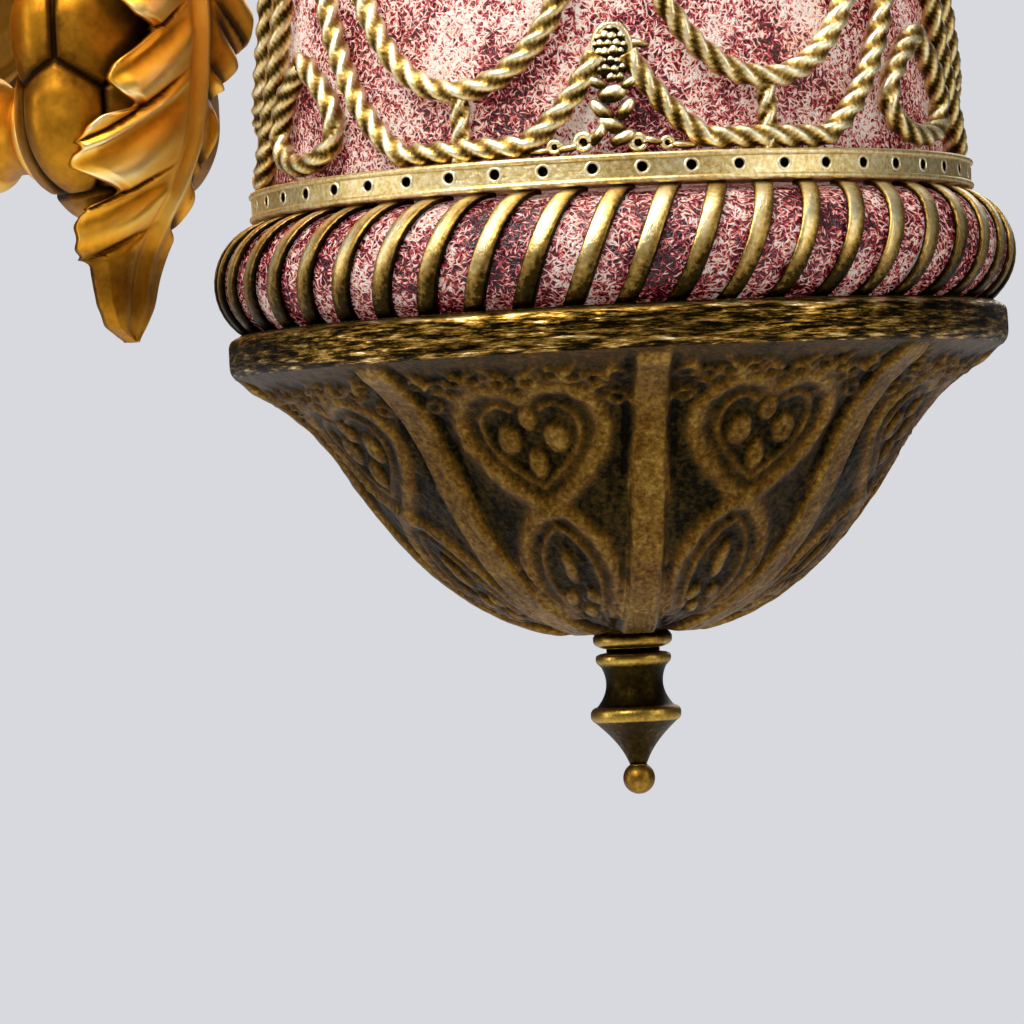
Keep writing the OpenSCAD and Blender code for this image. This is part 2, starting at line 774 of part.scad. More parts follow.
mounting_strap();
strap_studs();
earth_screw();
terminal_block();
wall_plate();
cap_nuts();
lower_boss();
upper_boss();
bracket_pod();
scroll_arm();
volute_pearl();
acanthus_leaf();
upper_leaf();
leaf_screws();
arm_eye();
hanging_link();
top_loop();
loop_collar();
nipple();
nipple_nut();
crown_dome();
cornice_ring();
upper_gadroon_glass();
upper_gadroon_straps();
upper_band();
upper_seal();
rope_ovals();
rope_swags();
rope_ties();
teardrops();
palmettes();
glass_cylinder();
lower_seal();
lower_band();
lower_gadroon_glass();
lower_gadroon_straps();
base_ring();
lampholder_shell();
lampholder_core();
bulb_cap();
bulb_glass();
bulb_filaments();
strap_bar();
centre_rod();
rod_nuts();
bowl();
finial_washer();
finial();
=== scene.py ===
"""Looks of the sanctuary lamp: detailed meshes, materials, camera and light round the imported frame.

Shapes are worked out in millimetres and written to the meshes in metres. Lantern pieces are built
about the lantern's own axis, with heights counted up from the bowl's underside.
"""
import math

import bpy
import numpy as np
from mathutils import Matrix, Vector

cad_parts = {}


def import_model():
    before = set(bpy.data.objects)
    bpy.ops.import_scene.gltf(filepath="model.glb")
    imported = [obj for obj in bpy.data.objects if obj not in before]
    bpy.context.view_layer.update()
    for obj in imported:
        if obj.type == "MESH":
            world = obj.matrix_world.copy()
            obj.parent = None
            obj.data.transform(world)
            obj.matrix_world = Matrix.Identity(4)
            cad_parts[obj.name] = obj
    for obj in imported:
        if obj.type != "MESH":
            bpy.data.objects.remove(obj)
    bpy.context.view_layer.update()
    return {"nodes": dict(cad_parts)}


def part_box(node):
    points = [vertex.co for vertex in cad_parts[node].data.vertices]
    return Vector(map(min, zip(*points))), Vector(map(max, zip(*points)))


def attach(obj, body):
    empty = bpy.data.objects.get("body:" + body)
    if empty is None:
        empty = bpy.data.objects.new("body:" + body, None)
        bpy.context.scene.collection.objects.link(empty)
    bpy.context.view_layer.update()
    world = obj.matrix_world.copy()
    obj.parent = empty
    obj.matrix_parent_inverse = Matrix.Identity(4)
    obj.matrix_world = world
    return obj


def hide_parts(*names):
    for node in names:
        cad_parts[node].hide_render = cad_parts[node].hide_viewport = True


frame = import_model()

MM = 0.001
VIEW_AZIMUTH = -60.0
FRONT = VIEW_AZIMUTH - 90.0  # polar angle of the side that faces the camera


# ---------------------------------------------------------------- places taken from the frame

def low_corner(node):
    return np.array(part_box(node)[0]) / MM


def high_corner(node):
    return np.array(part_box(node)[1]) / MM


def half_width(node):
    return (high_corner(node)[0] - low_corner(node)[0]) / 2


AXIS_Y = (low_corner("bowl")[1] + high_corner("bowl")[1]) / 2
BASE_Z = low_corner("bowl")[2]
LANTERN = np.array([0.0, AXIS_Y, BASE_Z])


def level(node, top=False):
    """Height of a lantern node's underside, or of its top, above the bowl's underside."""
    corner = high_corner(node) if top else low_corner(node)
    return corner[2] - BASE_Z


CAGE_Z = level("lower_band", top=True)
CAGE_H = level("upper_band") - CAGE_Z
SEAL_LIP = 0.6
GLASS_LOW_R = half_width("lower_seal") - SEAL_LIP
GLASS_HIGH_R = half_width("upper_seal") - SEAL_LIP
ROPE_R = 2.65
BULB_Z = level("bulb_glass") + 30.0  # middle of the bulb, above the bowl's underside


# ---------------------------------------------------------------- mesh helpers

def unit(v):
    v = np.asarray(v, float)
    return v / np.maximum(np.linalg.norm(v, axis=-1, keepdims=True), 1e-12)


def bezier(a, b, c, d, steps):
    t = np.linspace(0, 1, steps + 1)[:, None]
    a, b, c, d = (np.asarray(p, float) for p in (a, b, c, d))
    u = 1 - t
    return u**3 * a + 3 * u * u * t * b + 3 * u * t * t * c + t**3 * d


def grid_quads(rows, cols, close_rows=False, close_cols=False, flip=False):
    """Quads between the points of a rows x cols grid."""
    r = np.arange(rows if close_rows else rows - 1)[:, None]
    c = np.arange(cols if close_cols else cols - 1)[None, :]
    r1, c1 = (r + 1) % rows, (c + 1) % cols
    quads = np.stack([r * cols + c, r * cols + c1, r1 * cols + c1, r1 * cols + c], -1)
    quads = quads.reshape(-1, 4)
    return quads[:, ::-1] if flip else quads


def capped(rows, cols, flip=False):
    """Faces of a tube of rows x cols points with both its ends closed."""
    ring = np.arange(cols)[None]
    last = (rows - 1) * cols
    ends = [ring, last + ring[:, ::-1]] if flip else [ring[:, ::-1], last + ring]
    return [grid_quads(rows, cols, close_cols=True, flip=flip), *ends]


def spread(column, cols):
    """Copies a column of values into a grid."""
    return np.repeat(np.asarray(column, float)[:, None], cols, 1)


def full_turn(count):
    """Angles spread evenly over a full turn, in radians."""
    return np.linspace(0, 2 * math.pi, count, endpoint=False)


def around(r, z, a):
    """Points at radius r, height z and polar angle a."""
    return np.stack(np.broadcast_arrays(r * np.cos(a), r * np.sin(a), z), -1)


class Solid:
    """Collects the meshes of one piece, with a value per vertex that mixes rubbing and painted light: 0
    in recesses and where shade is painted, 1 on rubbed edges and painted highlights.
    """

    def __init__(self):
        self.points, self.faces, self.values, self.count = [], [], {"wear_and_painted_light": []}, 0

    def add(self, points, faces, wear_and_painted_light=0.5):
        points = np.asarray(points, float).reshape(-1, 3)
        faces = faces if isinstance(faces, list) else [faces]
        self.faces += [f + self.count for f in faces]
        self.points.append(points)
        self.values["wear_and_painted_light"].append(np.broadcast_to(np.ravel(wear_and_painted_light).astype(float), len(points)))
        self.count += len(points)
        return self

    def piece(self, name, body, slot, material, stands_for, at=(0, 0, 0)):
        points = (np.concatenate(self.points) + np.asarray(at, float)) * MM
        mesh = bpy.data.meshes.new(name)
        mesh.vertices.add(len(points))
        mesh.vertices.foreach_set("co", points.ravel())
        sizes = np.concatenate([np.full(len(f), f.shape[1]) for f in self.faces])
        mesh.loops.add(int(sizes.sum()))
        mesh.loops.foreach_set("vertex_index", np.concatenate([f.ravel() for f in self.faces]))
        mesh.polygons.add(len(sizes))
        mesh.polygons.foreach_set("loop_start", np.concatenate([[0], np.cumsum(sizes)[:-1]]))
        mesh.update(calc_edges=True)
        mesh.polygons.foreach_set("use_smooth", np.full(len(sizes), True))
        for key, parts in self.values.items():
            data = np.concatenate(parts)
            layer = mesh.attributes.new(key, "FLOAT" if data.ndim == 1 else "FLOAT_VECTOR", "POINT")
            layer.data.foreach_set("value" if data.ndim == 1 else "vector", data.ravel())
        mesh.validate()
        mesh.materials.append(material)
        obj = bpy.data.objects.new(name, mesh)
        bpy.context.scene.collection.objects.link(obj)
        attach(obj, body)
        if stands_for:
            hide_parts(*stands_for)
        return obj

    def on_lantern(self, name, material, *nodes):
        return self.piece(name, "lantern", "antique_brass", material, nodes, LANTERN)

    def on_bracket(self, name, node):
        return self.piece(name, "bracket", "gilt_casting", GILT, [node])


def resample(path, step, closed=False):
    """Points spread evenly along a path, their distances along it and its whole length."""
    path = np.asarray(path, float)
    if closed:
        path = np.vstack([path, path[:1]])
    s = np.concatenate([[0], np.cumsum(np.linalg.norm(np.diff(path, axis=0), axis=1))])
    n = max(8, int(round(s[-1] / step)))
    t = np.linspace(0, s[-1], n + 1)
    if closed:
        t = t[:-1]
    return np.stack([np.interp(t, s, path[:, k]) for k in range(3)], 1), t, s[-1]


def headings(points, closed):
    if closed:
        return unit(np.roll(points, -1, 0) - np.roll(points, 1, 0))
    return unit(np.gradient(points, axis=0))


def sweep(solid, points, out, radii, closed, wear_and_painted_light):
    """Tube round a path. out points away from what it lies on, and radii is rings x sides."""
    t = headings(points, closed)
    b = unit(np.cross(t, out))
    o = np.cross(b, t)
    rings, sides = radii.shape
    a = full_turn(sides)
    ring = np.cos(a)[None, :, None] * o[:, None] + np.sin(a)[None, :, None] * b[:, None]
    faces = grid_quads(rings, sides, True, True, True) if closed else capped(rings, sides, True)
    return solid.add(points[:, None] + radii[:, :, None] * ring, faces, wear_and_painted_light)


def tapered(solid, path, radius_at, wear_and_painted_light):
    """Plain tube whose radius follows radius_at(share of the length), on a path that lies flat."""
    points, s, length = resample(path, 0.5)
    up = np.broadcast_to([0.0, 0.0, 1.0], points.shape)
    return sweep(solid, points, up, spread(radius_at(s / length), 10), False, wear_and_painted_light)


def ball(solid, centre, radii, rows, cols, turn=np.eye(3), wear_and_painted_light=0.7):
    """Ellipsoid whose radii lie along the columns of turn."""
    v = np.linspace(0, math.pi, rows + 1)[:, None]
    shaped = around(np.sin(v), np.cos(v), full_turn(cols)[None]) * radii @ turn.T
    return solid.add(shaped + centre, grid_quads(rows + 1, cols, close_cols=True, flip=True), wear_and_painted_light)


def smooth_noise(rows, cols, blur, seed):
    """Random grid with features about blur cells wide, wrapped along the columns, in -1..1."""
    rng = np.random.default_rng(seed)
    field = rng.standard_normal((rows, cols))
    for _ in range(blur):
        field = (field + np.roll(field, 1, 1) + np.roll(field, -1, 1)) / 3
        padded = np.pad(field, ((1, 1), (0, 0)), mode="edge")
        field = (padded[:-2] + padded[1:-1] + padded[2:]) / 3
    return np.clip(field / (2.2 * field.std()), -1, 1)


def bump(x, width):
    return np.exp(-(np.asarray(x, float) / width) ** 2)


def ease(x, low, high):
    t = np.clip((np.asarray(x, float) - low) / (high - low), 0, 1)
    return t * t * (3 - 2 * t)


# ---------------------------------------------------------------- materials

class Graph:
    """A node material that is written from left to right."""

    def __init__(self, name):
        self.material = bpy.data.materials.new(name)
        self.material.use_nodes = True
        self.tree = self.material.node_tree
        self.bsdf = self.tree.nodes["Principled BSDF"]

    def node(self, kind, settings=None, **inputs):
        node = self.tree.nodes.new("ShaderNode" + kind)
        for key, value in (settings or {}).items():
            setattr(node, key, value)
        for key, value in inputs.items():
            self.feed(node.inputs[key.replace("_", " ")], value)
        return node

    def feed(self, socket, value):
        if hasattr(value, "is_output"):
            self.tree.links.new(value, socket)
        else:
            socket.default_value = value

    def attribute(self, name, vector=False):
        node = self.node("Attribute", {"attribute_name": name})
        return node.outputs["Vector" if vector else "Fac"]

    def place(self):
        return self.node("TexCoord").outputs["Object"]

    def noise(self, where, scale, detail=3.0, rough=0.55):
        node = self.node("TexNoise", Vector=where, Scale=scale, Detail=detail, Roughness=rough)
        return node.outputs["Fac"]

    def flat_noise(self, where, **inputs):
        return self.node("TexNoise", {"noise_dimensions": "2D"}, Vector=where, **inputs)

    def math(self, operation, a, b, clamp=False):
        node = self.node("Math", {"operation": operation, "use_clamp": clamp})
        self.feed(node.inputs[0], a)
        self.feed(node.inputs[1], b)
        return node.outputs[0]

    def multiply_add(self, vector, factors, offset):
        node = self.node("VectorMath", {"operation": "MULTIPLY_ADD"})
        for socket, value in zip(node.inputs, (vector, factors, offset)):
            self.feed(socket, value)
        return node.outputs[0]

    def sway(self, value, noise, share, middle=0.5, clamp=False):
        """Moves a value by a share of the noise's distance from its middle."""
        swing = self.math("MULTIPLY", self.math("SUBTRACT", noise, middle), share)
        return self.math("ADD", value, swing, clamp)

    def ramp(self, value, stops):
        """Colour ramp. A stop's colour may be a single number, for a grey."""
        node = self.node("ValToRGB", Fac=value)
        elements = node.color_ramp.elements
        while len(elements) < len(stops):
            elements.new(0.5)
        for element, (position, colour) in zip(elements, stops):
            element.position = position
            element.color = (*(colour if isinstance(colour, tuple) else (colour,) * 3), 1.0)
        return node.outputs["Color"]

    def mix(self, share, a, b, blend="MIX"):
        node = self.node("MixRGB", {"blend_type": blend})
        for socket, value in zip(node.inputs, (share, a, b)):
            self.feed(socket, value if not isinstance(value, tuple) else (*value, 1.0))
        return node.outputs["Color"]

    def set(self, **inputs):
        for key, value in inputs.items():
            self.feed(self.bsdf.inputs[key.replace("_", " ")], value)
        return self

    def bump(self, height, strength, distance):
        node = self.node("Bump", Strength=strength, Distance=distance, Height=height)
        return self.set(Normal=node.outputs["Normal"])


def antique_brass(name, gain=1.0, shift=0.0, grain=0.25, streaks=False, uses_wear_and_light=True,
                  light=(0.58, 0.38, 0.075), bright=(0.80, 0.56, 0.17), rough_top=0.30,
                  pitting=0.35):
    """Blackened brass: gold where it is rubbed and where highlights are painted, near black in the
    recesses and where shade is painted.
    """
    g = Graph(name)
    where = g.place()
    if streaks:
        stretched = g.node("Mapping", Vector=where)
        stretched.inputs["Scale"].default_value = (1.0, 1.0, 9.0)
        fine = g.noise(stretched.outputs["Vector"], 130, 4, 0.75)
    else:
        fine = g.noise(where, 900, 4, 0.65)
    broad = g.noise(where, 90, 3)
    base = g.attribute("wear_and_painted_light") if uses_wear_and_light else 0.5
    value = g.math("MULTIPLY_ADD", base, gain)
    g.feed(value.node.inputs[2], shift)
    value = g.sway(g.sway(value, fine, grain * 4), broad, 0.5, clamp=True)
    middle = (0.46 * light[0], 0.36 * light[1], 0.22 * light[2])
    colour = g.ramp(value, [(0.0, (0.004, 0.003, 0.001)), (0.25, (0.035, 0.020, 0.003)),
                            (0.5, middle), (0.75, light), (1.0, bright)])
    rough = g.ramp(value, [(0.0, 0.50), (0.5, 0.42), (1.0, rough_top)])
    g.set(Base_Color=colour, Roughness=rough, Metallic=1.0)
    g.bump(g.math("ADD", fine, g.math("MULTIPLY", broad, 0.4)), pitting, 0.0005)
    return g.material


def gilt(name, uses_wear_and_light=True):
    """Gilded casting: warm orange gold, brown where the per-vertex value is low, which is a glaze left
    in the recesses and painted shade; pale gold where highlights are painted.
    """
    g = Graph(name)
    where = g.place()
    broad = g.noise(where, 26, 3)
    fine = g.noise(where, 420, 3, 0.6)
    base = g.attribute("wear_and_painted_light") if uses_wear_and_light else 0.62
    value = g.sway(g.sway(base, broad, 0.40), fine, 0.18, clamp=True)
    colour = g.ramp(value, [(0.0, (0.015, 0.006, 0.001)), (0.25, (0.12, 0.045, 0.004)),
                            (0.55, (0.78, 0.33, 0.018)), (0.8, (0.92, 0.52, 0.075)),
                            (1.0, (0.98, 0.80, 0.38))])
    rough = g.ramp(value, [(0.0, 0.52), (0.6, 0.42), (1.0, 0.36)])
    g.set(Base_Color=colour, Roughness=rough, Metallic=1.0)
    g.bump(g.math("ADD", fine, broad), 0.10, 0.0005)
    return g.material


def crackle_glass(name, glow):
    """Crushed-ice glass: pale needles over pink, crimson and dark gaps, with the lamp's light in it."""
    g = Graph(name)
    sheet = g.attribute("sheet", vector=True)
    light = g.attribute("light")
    warp = g.flat_noise(sheet, Scale=0.5, Detail=2.0)
    bent = g.multiply_add(warp.outputs["Color"], (1.2, 1.2, 0.0), sheet)
    strands = None
    for turn in (8, 53, 97, 141):
        rotated = g.node("VectorRotate", {"rotation_type": "Z_AXIS"}, Vector=bent,
                         Angle=math.radians(turn))
        squeezed = g.multiply_add(rotated.outputs["Vector"], (0.45, 1.75, 1.0),
                                  (turn, 3.0 * turn, 0.0))
        value = g.flat_noise(squeezed, Scale=1.0, Detail=1.0, Roughness=0.5).outputs["Fac"]
        strands = value if strands is None else g.math("MAXIMUM", strands, value)
    patches = g.flat_noise(sheet, Scale=0.07, Detail=3.0)
    chips = g.node("TexVoronoi", {"voronoi_dimensions": "2D"}, Vector=bent, Scale=0.8)
    value = g.sway(strands, patches.outputs["Fac"], 0.44)
    value = g.sway(value, g.math("MINIMUM", light, 0.7), 0.24, middle=0.45)
    colour = g.ramp(value, [(0.50, (0.04, 0.004, 0.008)), (0.545, (0.42, 0.010, 0.034)),
                            (0.585, (0.70, 0.14, 0.14)), (0.625, (0.82, 0.44, 0.34)),
                            (0.675, (0.97, 0.86, 0.76))])
    tint = g.ramp(g.node("SeparateColor", Color=chips.outputs["Color"]).outputs["Red"],
                  [(0.0, (1.0, 0.78, 0.62)), (0.5, (1.0, 0.86, 0.86)), (1.0, (1.0, 1.0, 1.0))])
    colour = g.mix(0.6, colour, g.mix(1.0, colour, tint, "MULTIPLY"))
    lit = g.mix(1.0, colour, g.ramp(light, [(0.0, 0.12), (1.0, 1.0)]), "MULTIPLY")
    body = g.mix(1.0, colour, (0.5, 0.5, 0.5), "MULTIPLY")
    g.set(Base_Color=body, Roughness=0.25, Metallic=0.0, IOR=1.45,
          Emission_Color=lit, Emission_Strength=glow)
    g.bump(value, 0.8, 0.001)
    return g.material


def plain(name, colour, rough, metallic=0.0, grain=400, contrast=0.12):
    """Small hidden or standard parts: even colour with a fine grain."""
    g = Graph(name)
    fine = g.noise(g.place(), grain, 3)
    dark = tuple(c * (1 - contrast) for c in colour)
    light = tuple(min(1.0, c * (1 + contrast)) for c in colour)
    g.set(Base_Color=g.ramp(fine, [(0.3, dark), (0.7, light)]), Metallic=metallic,
          Roughness=g.ramp(fine, [(0.3, rough * 0.85), (0.7, min(1.0, rough * 1.15))]))
    g.bump(fine, 0.1, 0.0003)
    return g.material


def bulb_light(name):
    """Frosted bulb that shines."""
    g = Graph(name)
    fine = g.noise(g.place(), 60, 2)
    warm = g.ramp(fine, [(0.3, (1.0, 0.80, 0.55)), (0.7, (1.0, 0.88, 0.70))])
    g.set(Base_Color=warm, Roughness=0.35, Emission_Color=warm, Emission_Strength=9.0)
    g.bump(fine, 0.05, 0.0003)
    return g.material


PALE = (0.72, 0.53, 0.20)
CREAM = (0.94, 0.84, 0.56)
ROPE = antique_brass("rope_brass", shift=0.14, grain=0.14, light=PALE, bright=CREAM,
                     rough_top=0.40)
CAST = antique_brass("cast_brass", gain=1.1, grain=0.16, light=PALE, bright=CREAM,
                     rough_top=0.36)
TURNED = antique_brass("turned_brass", gain=0.95, shift=-0.24, grain=0.14,
                       bright=(0.90, 0.74, 0.38), rough_top=0.16, pitting=0.15)
BOWL = antique_brass("bowl_brass", gain=0.78, shift=-0.01, grain=0.26,
                     light=(0.18, 0.095, 0.015), bright=(0.36, 0.21, 0.050), rough_top=0.40,
                     pitting=0.7)
STRAP = antique_brass("strap_brass", shift=-0.02, grain=0.16, light=PALE, bright=CREAM,
                      rough_top=0.36)
BAND = antique_brass("band_brass", shift=0.30, grain=0.22, light=PALE, bright=CREAM,
                     uses_wear_and_light=False, rough_top=0.42)
RIM = antique_brass("rim_brass", gain=0.8, shift=-0.17, grain=0.95, streaks=True,
                    light=(0.48, 0.30, 0.070), bright=(1.0, 0.85, 0.50))
DARK_BRASS = antique_brass("dark_brass", gain=0.4, shift=-0.05, uses_wear_and_light=False)
FRAME_BRASS = antique_brass("frame_brass", grain=0.22, uses_wear_and_light=False)
GILT = gilt("gilt_casting")
GILT_PLAIN = gilt("gilt_plain", uses_wear_and_light=False)
GLASS = crackle_glass("crackle_glass", 0.82)
HOOP_GLASS = crackle_glass("hoop_glass", 0.80)
STEEL = plain("zinc_steel", (0.55, 0.55, 0.53), 0.35, 1.0)
SCREW = plain("screw_brass", (0.62, 0.45, 0.16), 0.3, 1.0)
CERAMIC = plain("glazed_ceramic", (0.82, 0.79, 0.72), 0.25)
PLASTIC = plain("block_plastic", (0.78, 0.78, 0.75), 0.45)
RUBBER = plain("seal_rubber", (0.03, 0.03, 0.03), 0.7)
BULB = bulb_light("bulb_glass")
CAP = plain("bulb_cap", (0.66, 0.66, 0.66), 0.3, 1.0)
FILAMENT = plain("filament", (0.95, 0.65, 0.25), 0.5)


for name, material in {
    "mounting_strap": STEEL, "strap_studs": STEEL, "earth_screw": SCREW,
    "terminal_block": PLASTIC, "cap_nuts": GILT_PLAIN, "volute_pearl": GILT_PLAIN,
    "leaf_screws": SCREW, "arm_eye": GILT_PLAIN, "hanging_link": GILT_PLAIN,
    "top_loop": FRAME_BRASS, "nipple": STEEL, "nipple_nut": STEEL,
    "cornice_ring": FRAME_BRASS, "upper_band": BAND, "upper_seal": RUBBER,
    "lower_seal": RUBBER, "lower_band": BAND, "base_ring": DARK_BRASS,
    "lampholder_shell": FRAME_BRASS, "lampholder_core": CERAMIC, "bulb_cap": CAP,
    "bulb_glass": BULB, "bulb_filaments": FILAMENT, "strap_bar": STEEL,
    "centre_rod": STEEL, "rod_nuts": STEEL,
}.items():
    frame["nodes"][name].data.materials.clear()
    frame["nodes"][name].data.materials.append(material)


# ---------------------------------------------------------------- glass

GLASS_ROUGH = 0.25  # depth of the chips in the glass


def cage_radius(h):
    """Outer radius of the glass drum at a height above the lower band."""
    return GLASS_LOW_R + (GLASS_HIGH_R - GLASS_LOW_R) * h / CAGE_H


def light_at(x, y, z):
    """Share of the bulb's light that falls on a point of the glass, 1 at the nearest wall."""
    across = np.hypot(x, y)
    d2 = across**2 + (z - BULB_Z) ** 2
    near = GLASS_HIGH_R**2
    return np.clip((near / d2) ** 1.3, 0, 1)


def glass_sheet(solid, verts, heights):
    """Gives a grid of verts the coordinates of the unrolled sheet and the bulb's light."""
    x, y, z = np.moveaxis(verts, -1, 0)
    arc = np.mod(np.arctan2(y, x) - math.radians(90), 2 * math.pi) * GLASS_LOW_R
    solid.values["sheet"] = [np.stack([arc, heights, np.zeros_like(arc)], -1).reshape(-1, 3)]
    solid.values["light"] = [light_at(x, y, z).ravel()]


def section_ring(name, material, node, section, outer_rows, cols=480, seed=1):
    """Closed ring of glass: a section of [radius, height] points turned about the axis."""
    section = np.asarray(section, float)
    away = unit(np.gradient(section, axis=0)) @ np.array([[0, -1], [1, 0]])
    chips = smooth_noise(outer_rows, cols, 1, seed) * GLASS_ROUGH
    grid = np.repeat(section[:, None], cols, 1)
    grid[:outer_rows] += away[:outer_rows, None] * chips[..., None]
    verts = around(grid[..., 0], grid[..., 1], full_turn(cols) + math.radians(90))
    heights = np.concatenate([[0], np.cumsum(np.linalg.norm(np.diff(section, axis=0), axis=1))])
    solid = Solid().add(verts, grid_quads(len(section), cols, close_rows=True, close_cols=True))
    glass_sheet(solid, verts, spread(heights, cols))
    solid.piece(name, "lantern", "crackle_glass", material, [node], LANTERN)


def drum():
    rows, wall = 132, 3.0
    z = np.linspace(level("glass_cylinder"), level("glass_cylinder", top=True), rows)
    r = cage_radius(z - CAGE_Z)
    outer = np.stack([r - GLASS_ROUGH, z], 1)
    inner = np.stack([r[::-12] - wall, z[::-12]], 1)
    section_ring("crackle_drum", GLASS, "glass_cylinder", np.vstack([outer, inner]), rows)


def hoop(which, r, below, seed):
    """Half-round hoop of glass, as it shows between the straps that bend over it at radius r."""
    strap_node = which + "_gadroon_straps"
    strap_gap, wall, skin, rows = 1.5, 2.8, 0.2, 40
    low = level(strap_node)
    middle = [half_width(strap_node) - r, low + below]
    rho = r - strap_gap
    start = math.asin(max(-1.0, -below / rho))

    def arc(radius, angles):
        return middle + radius * np.stack([np.cos(angles), np.sin(angles)], 1)

    outer = arc(rho - skin, np.linspace(start + 0.02, math.radians(86), rows))
    inner = arc(rho - wall, np.radians(np.linspace(80, -62, 14)))
    section_ring(which + "_hoop_glass", HOOP_GLASS, which + "_gadroon_glass",
                 np.vstack([outer, inner]), rows, 560, seed)


# Radius at which the straps bend over the glass hoops, and its centre's height above their feet
LOWER_BEND = (13.9, 11.6)
UPPER_BEND = (11.2, 10.0)

drum()
hoop("lower", *LOWER_BEND, seed=5)
hoop("upper", *UPPER_BEND, seed=6)


# ---------------------------------------------------------------- gadroon straps

STRAP_W = 4.6
STRAPS = 48


def straps(which, r, below, lean):
    """Flat straps with softened edges that lean over the glass hoop."""
    node = which + "_gadroon_straps"
    above = level(node, top=True) - level(node) - below
    steps = 16
    across = 0.49 * STRAP_W * np.array([-1, -0.98, -0.84, -0.44, 0, 0.44, 0.84, 0.98, 1, 0.5, -0.5])
    height = np.array([-1.15, -0.3, -0.06, -0.02, 0.0, -0.02, -0.06, -0.3, -1.15, -1.2, -1.2])
    # Rubbed crest in the middle; the edge at negative across is lighter than the other, a painted
    # highlight on one side and painted shade on the other.
    rubbed = np.array([0.1, 0.35, 0.75, 0.9, 0.75, 0.5, 0.45, 0.2, 0.05, 0.0, 0.0])
    s = np.linspace(0, 1, steps + 1)[:, None]
    rho = r + height
    start, end = (np.arcsin(np.clip(reach / rho, -1, 1)) for reach in (-below, above))
    a = start + (end - start) * s
    radius = half_width(node) - r + rho * np.cos(a)
    # Painted shade: the straps get darker towards their lower ends.
    shaded = rubbed * (0.30 + 0.75 * ease(s, 0.08, 0.55))
    solid = Solid()
    rng = np.random.default_rng(11)
    for turn in full_turn(STRAPS):
        verts = around(radius, level(node) + below + rho * np.sin(a),
                       turn + np.radians(lean) * s + across / radius)
        solid.add(verts, capped(steps + 1, len(across)), shaded + rng.uniform(-0.06, 0.06))
    solid.on_lantern(which + "_straps", STRAP, node)


straps("lower", *LOWER_BEND, lean=8.6)
straps("upper", *UPPER_BEND, lean=-8.6)


# ---------------------------------------------------------------- cage

def on_cage(angle, h, lift):
    """Points on the cage: polar angle in degrees, height above the lower band, lift off the glass."""
    return around(cage_radius(h) + lift, CAGE_Z + h, np.radians(angle))


ROPE_FLOOR = 0.76  # depth of the grooves between strands, as a share of the radius


def rope(solid, angle, h, closed=False, radius=ROPE_R, strand_step=5.4):
    """Rope of three strands through points given as polar angles and heights."""
    path = on_cage(np.asarray(angle, float), np.asarray(h, float), radius + 0.1)
    points, s, length = resample(path, 0.5, closed)
    out = unit(points * [1, 1, 0])
    a = full_turn(18)[None]
    strand = 2 * math.pi / 3
    twist = strand * max(1, round(length / strand_step)) * s[:, None] / length
    phase = np.mod(a - twist, strand) - strand / 2
    core, reach = 0.464, 0.536
    lobe = reach * np.cos(phase) + np.sqrt(np.maximum(core**2 - (reach * np.sin(phase)) ** 2, 0))
    lobe = np.maximum(lobe, ROPE_FLOOR)
    up = np.sin(a) * np.sign(unit(np.cross(headings(points, closed), out))[:, 2:])
    # Strand crests are rubbed bright and the grooves stay dark; the strands' upper sides are painted
    # lighter, as painted light from above.
    wear_and_painted_light = 0.22 + 0.62 * ease(lobe, ROPE_FLOOR, 0.97) + 0.14 * up
    return sweep(solid, points, out, radius * lobe, closed, wear_and_painted_light)


PALMETTES = [FRONT + 120 * i for i in range(3)]
FLANKS = [(middle, side) for middle in PALMETTES for side in (-1, 1)]
OVAL_AT, OVAL_W, OVAL_H = 25.0, 21.8, 0.381 * CAGE_H
SWAG_W, SWAG_H, SWAG_CUT, SWAG_FOOT = 29.8, CAGE_H / 2 + 1.5, 41.0, ROPE_R + 0.1
TEARDROP_H, TEARDROP_W = 26.0, 12.0


def rope_ovals():
    solid = Solid()
    a = full_turn(160)
    for middle, side in FLANKS:
        rope(solid, middle + side * (OVAL_AT + OVAL_W * np.cos(a)),
             CAGE_H / 2 + OVAL_H * np.sin(a), closed=True)
    solid.on_lantern("oval_ropes", ROPE, "rope_ovals")


def rope_swags():
    solid = Solid()
    a = np.radians(np.linspace(180 + SWAG_CUT, 540 - SWAG_CUT, 160))
    h = np.clip(CAGE_H / 2 + SWAG_H * np.sin(a), SWAG_FOOT, CAGE_H - SWAG_FOOT)
    for middle, side in FLANKS:
        rope(solid, middle + side * (OVAL_AT + SWAG_W * np.cos(a)), h)
    solid.on_lantern("swag_ropes", ROPE, "rope_swags")


def rope_ties():
    solid = Solid()
    h = np.linspace(0, CAGE_H / 2 - OVAL_H - 1.5, 20)
    for middle, side in FLANKS:
        for heights in (h, CAGE_H - h):
            rope(solid, np.full(20, middle + side * OVAL_AT), heights, radius=2.3, strand_step=4.2)
    solid.on_lantern("tie_ropes", ROPE, "rope_ties")


def teardrops():
    solid = Solid()
    low = ROPE_R + 0.9
    a = full_turn(90) + 0.03
    h = low + (TEARDROP_H - low) * (1 + np.cos(a)) / 2
    for middle in PALMETTES:
        for heights in (h, CAGE_H - h):
            rope(solid, middle + 60 + TEARDROP_W * np.sin(a) * np.sin(a / 2), heights, closed=True)
    solid.on_lantern("teardrop_ropes", ROPE, "teardrops")


rope_ovals()
rope_swags()
rope_ties()
teardrops()


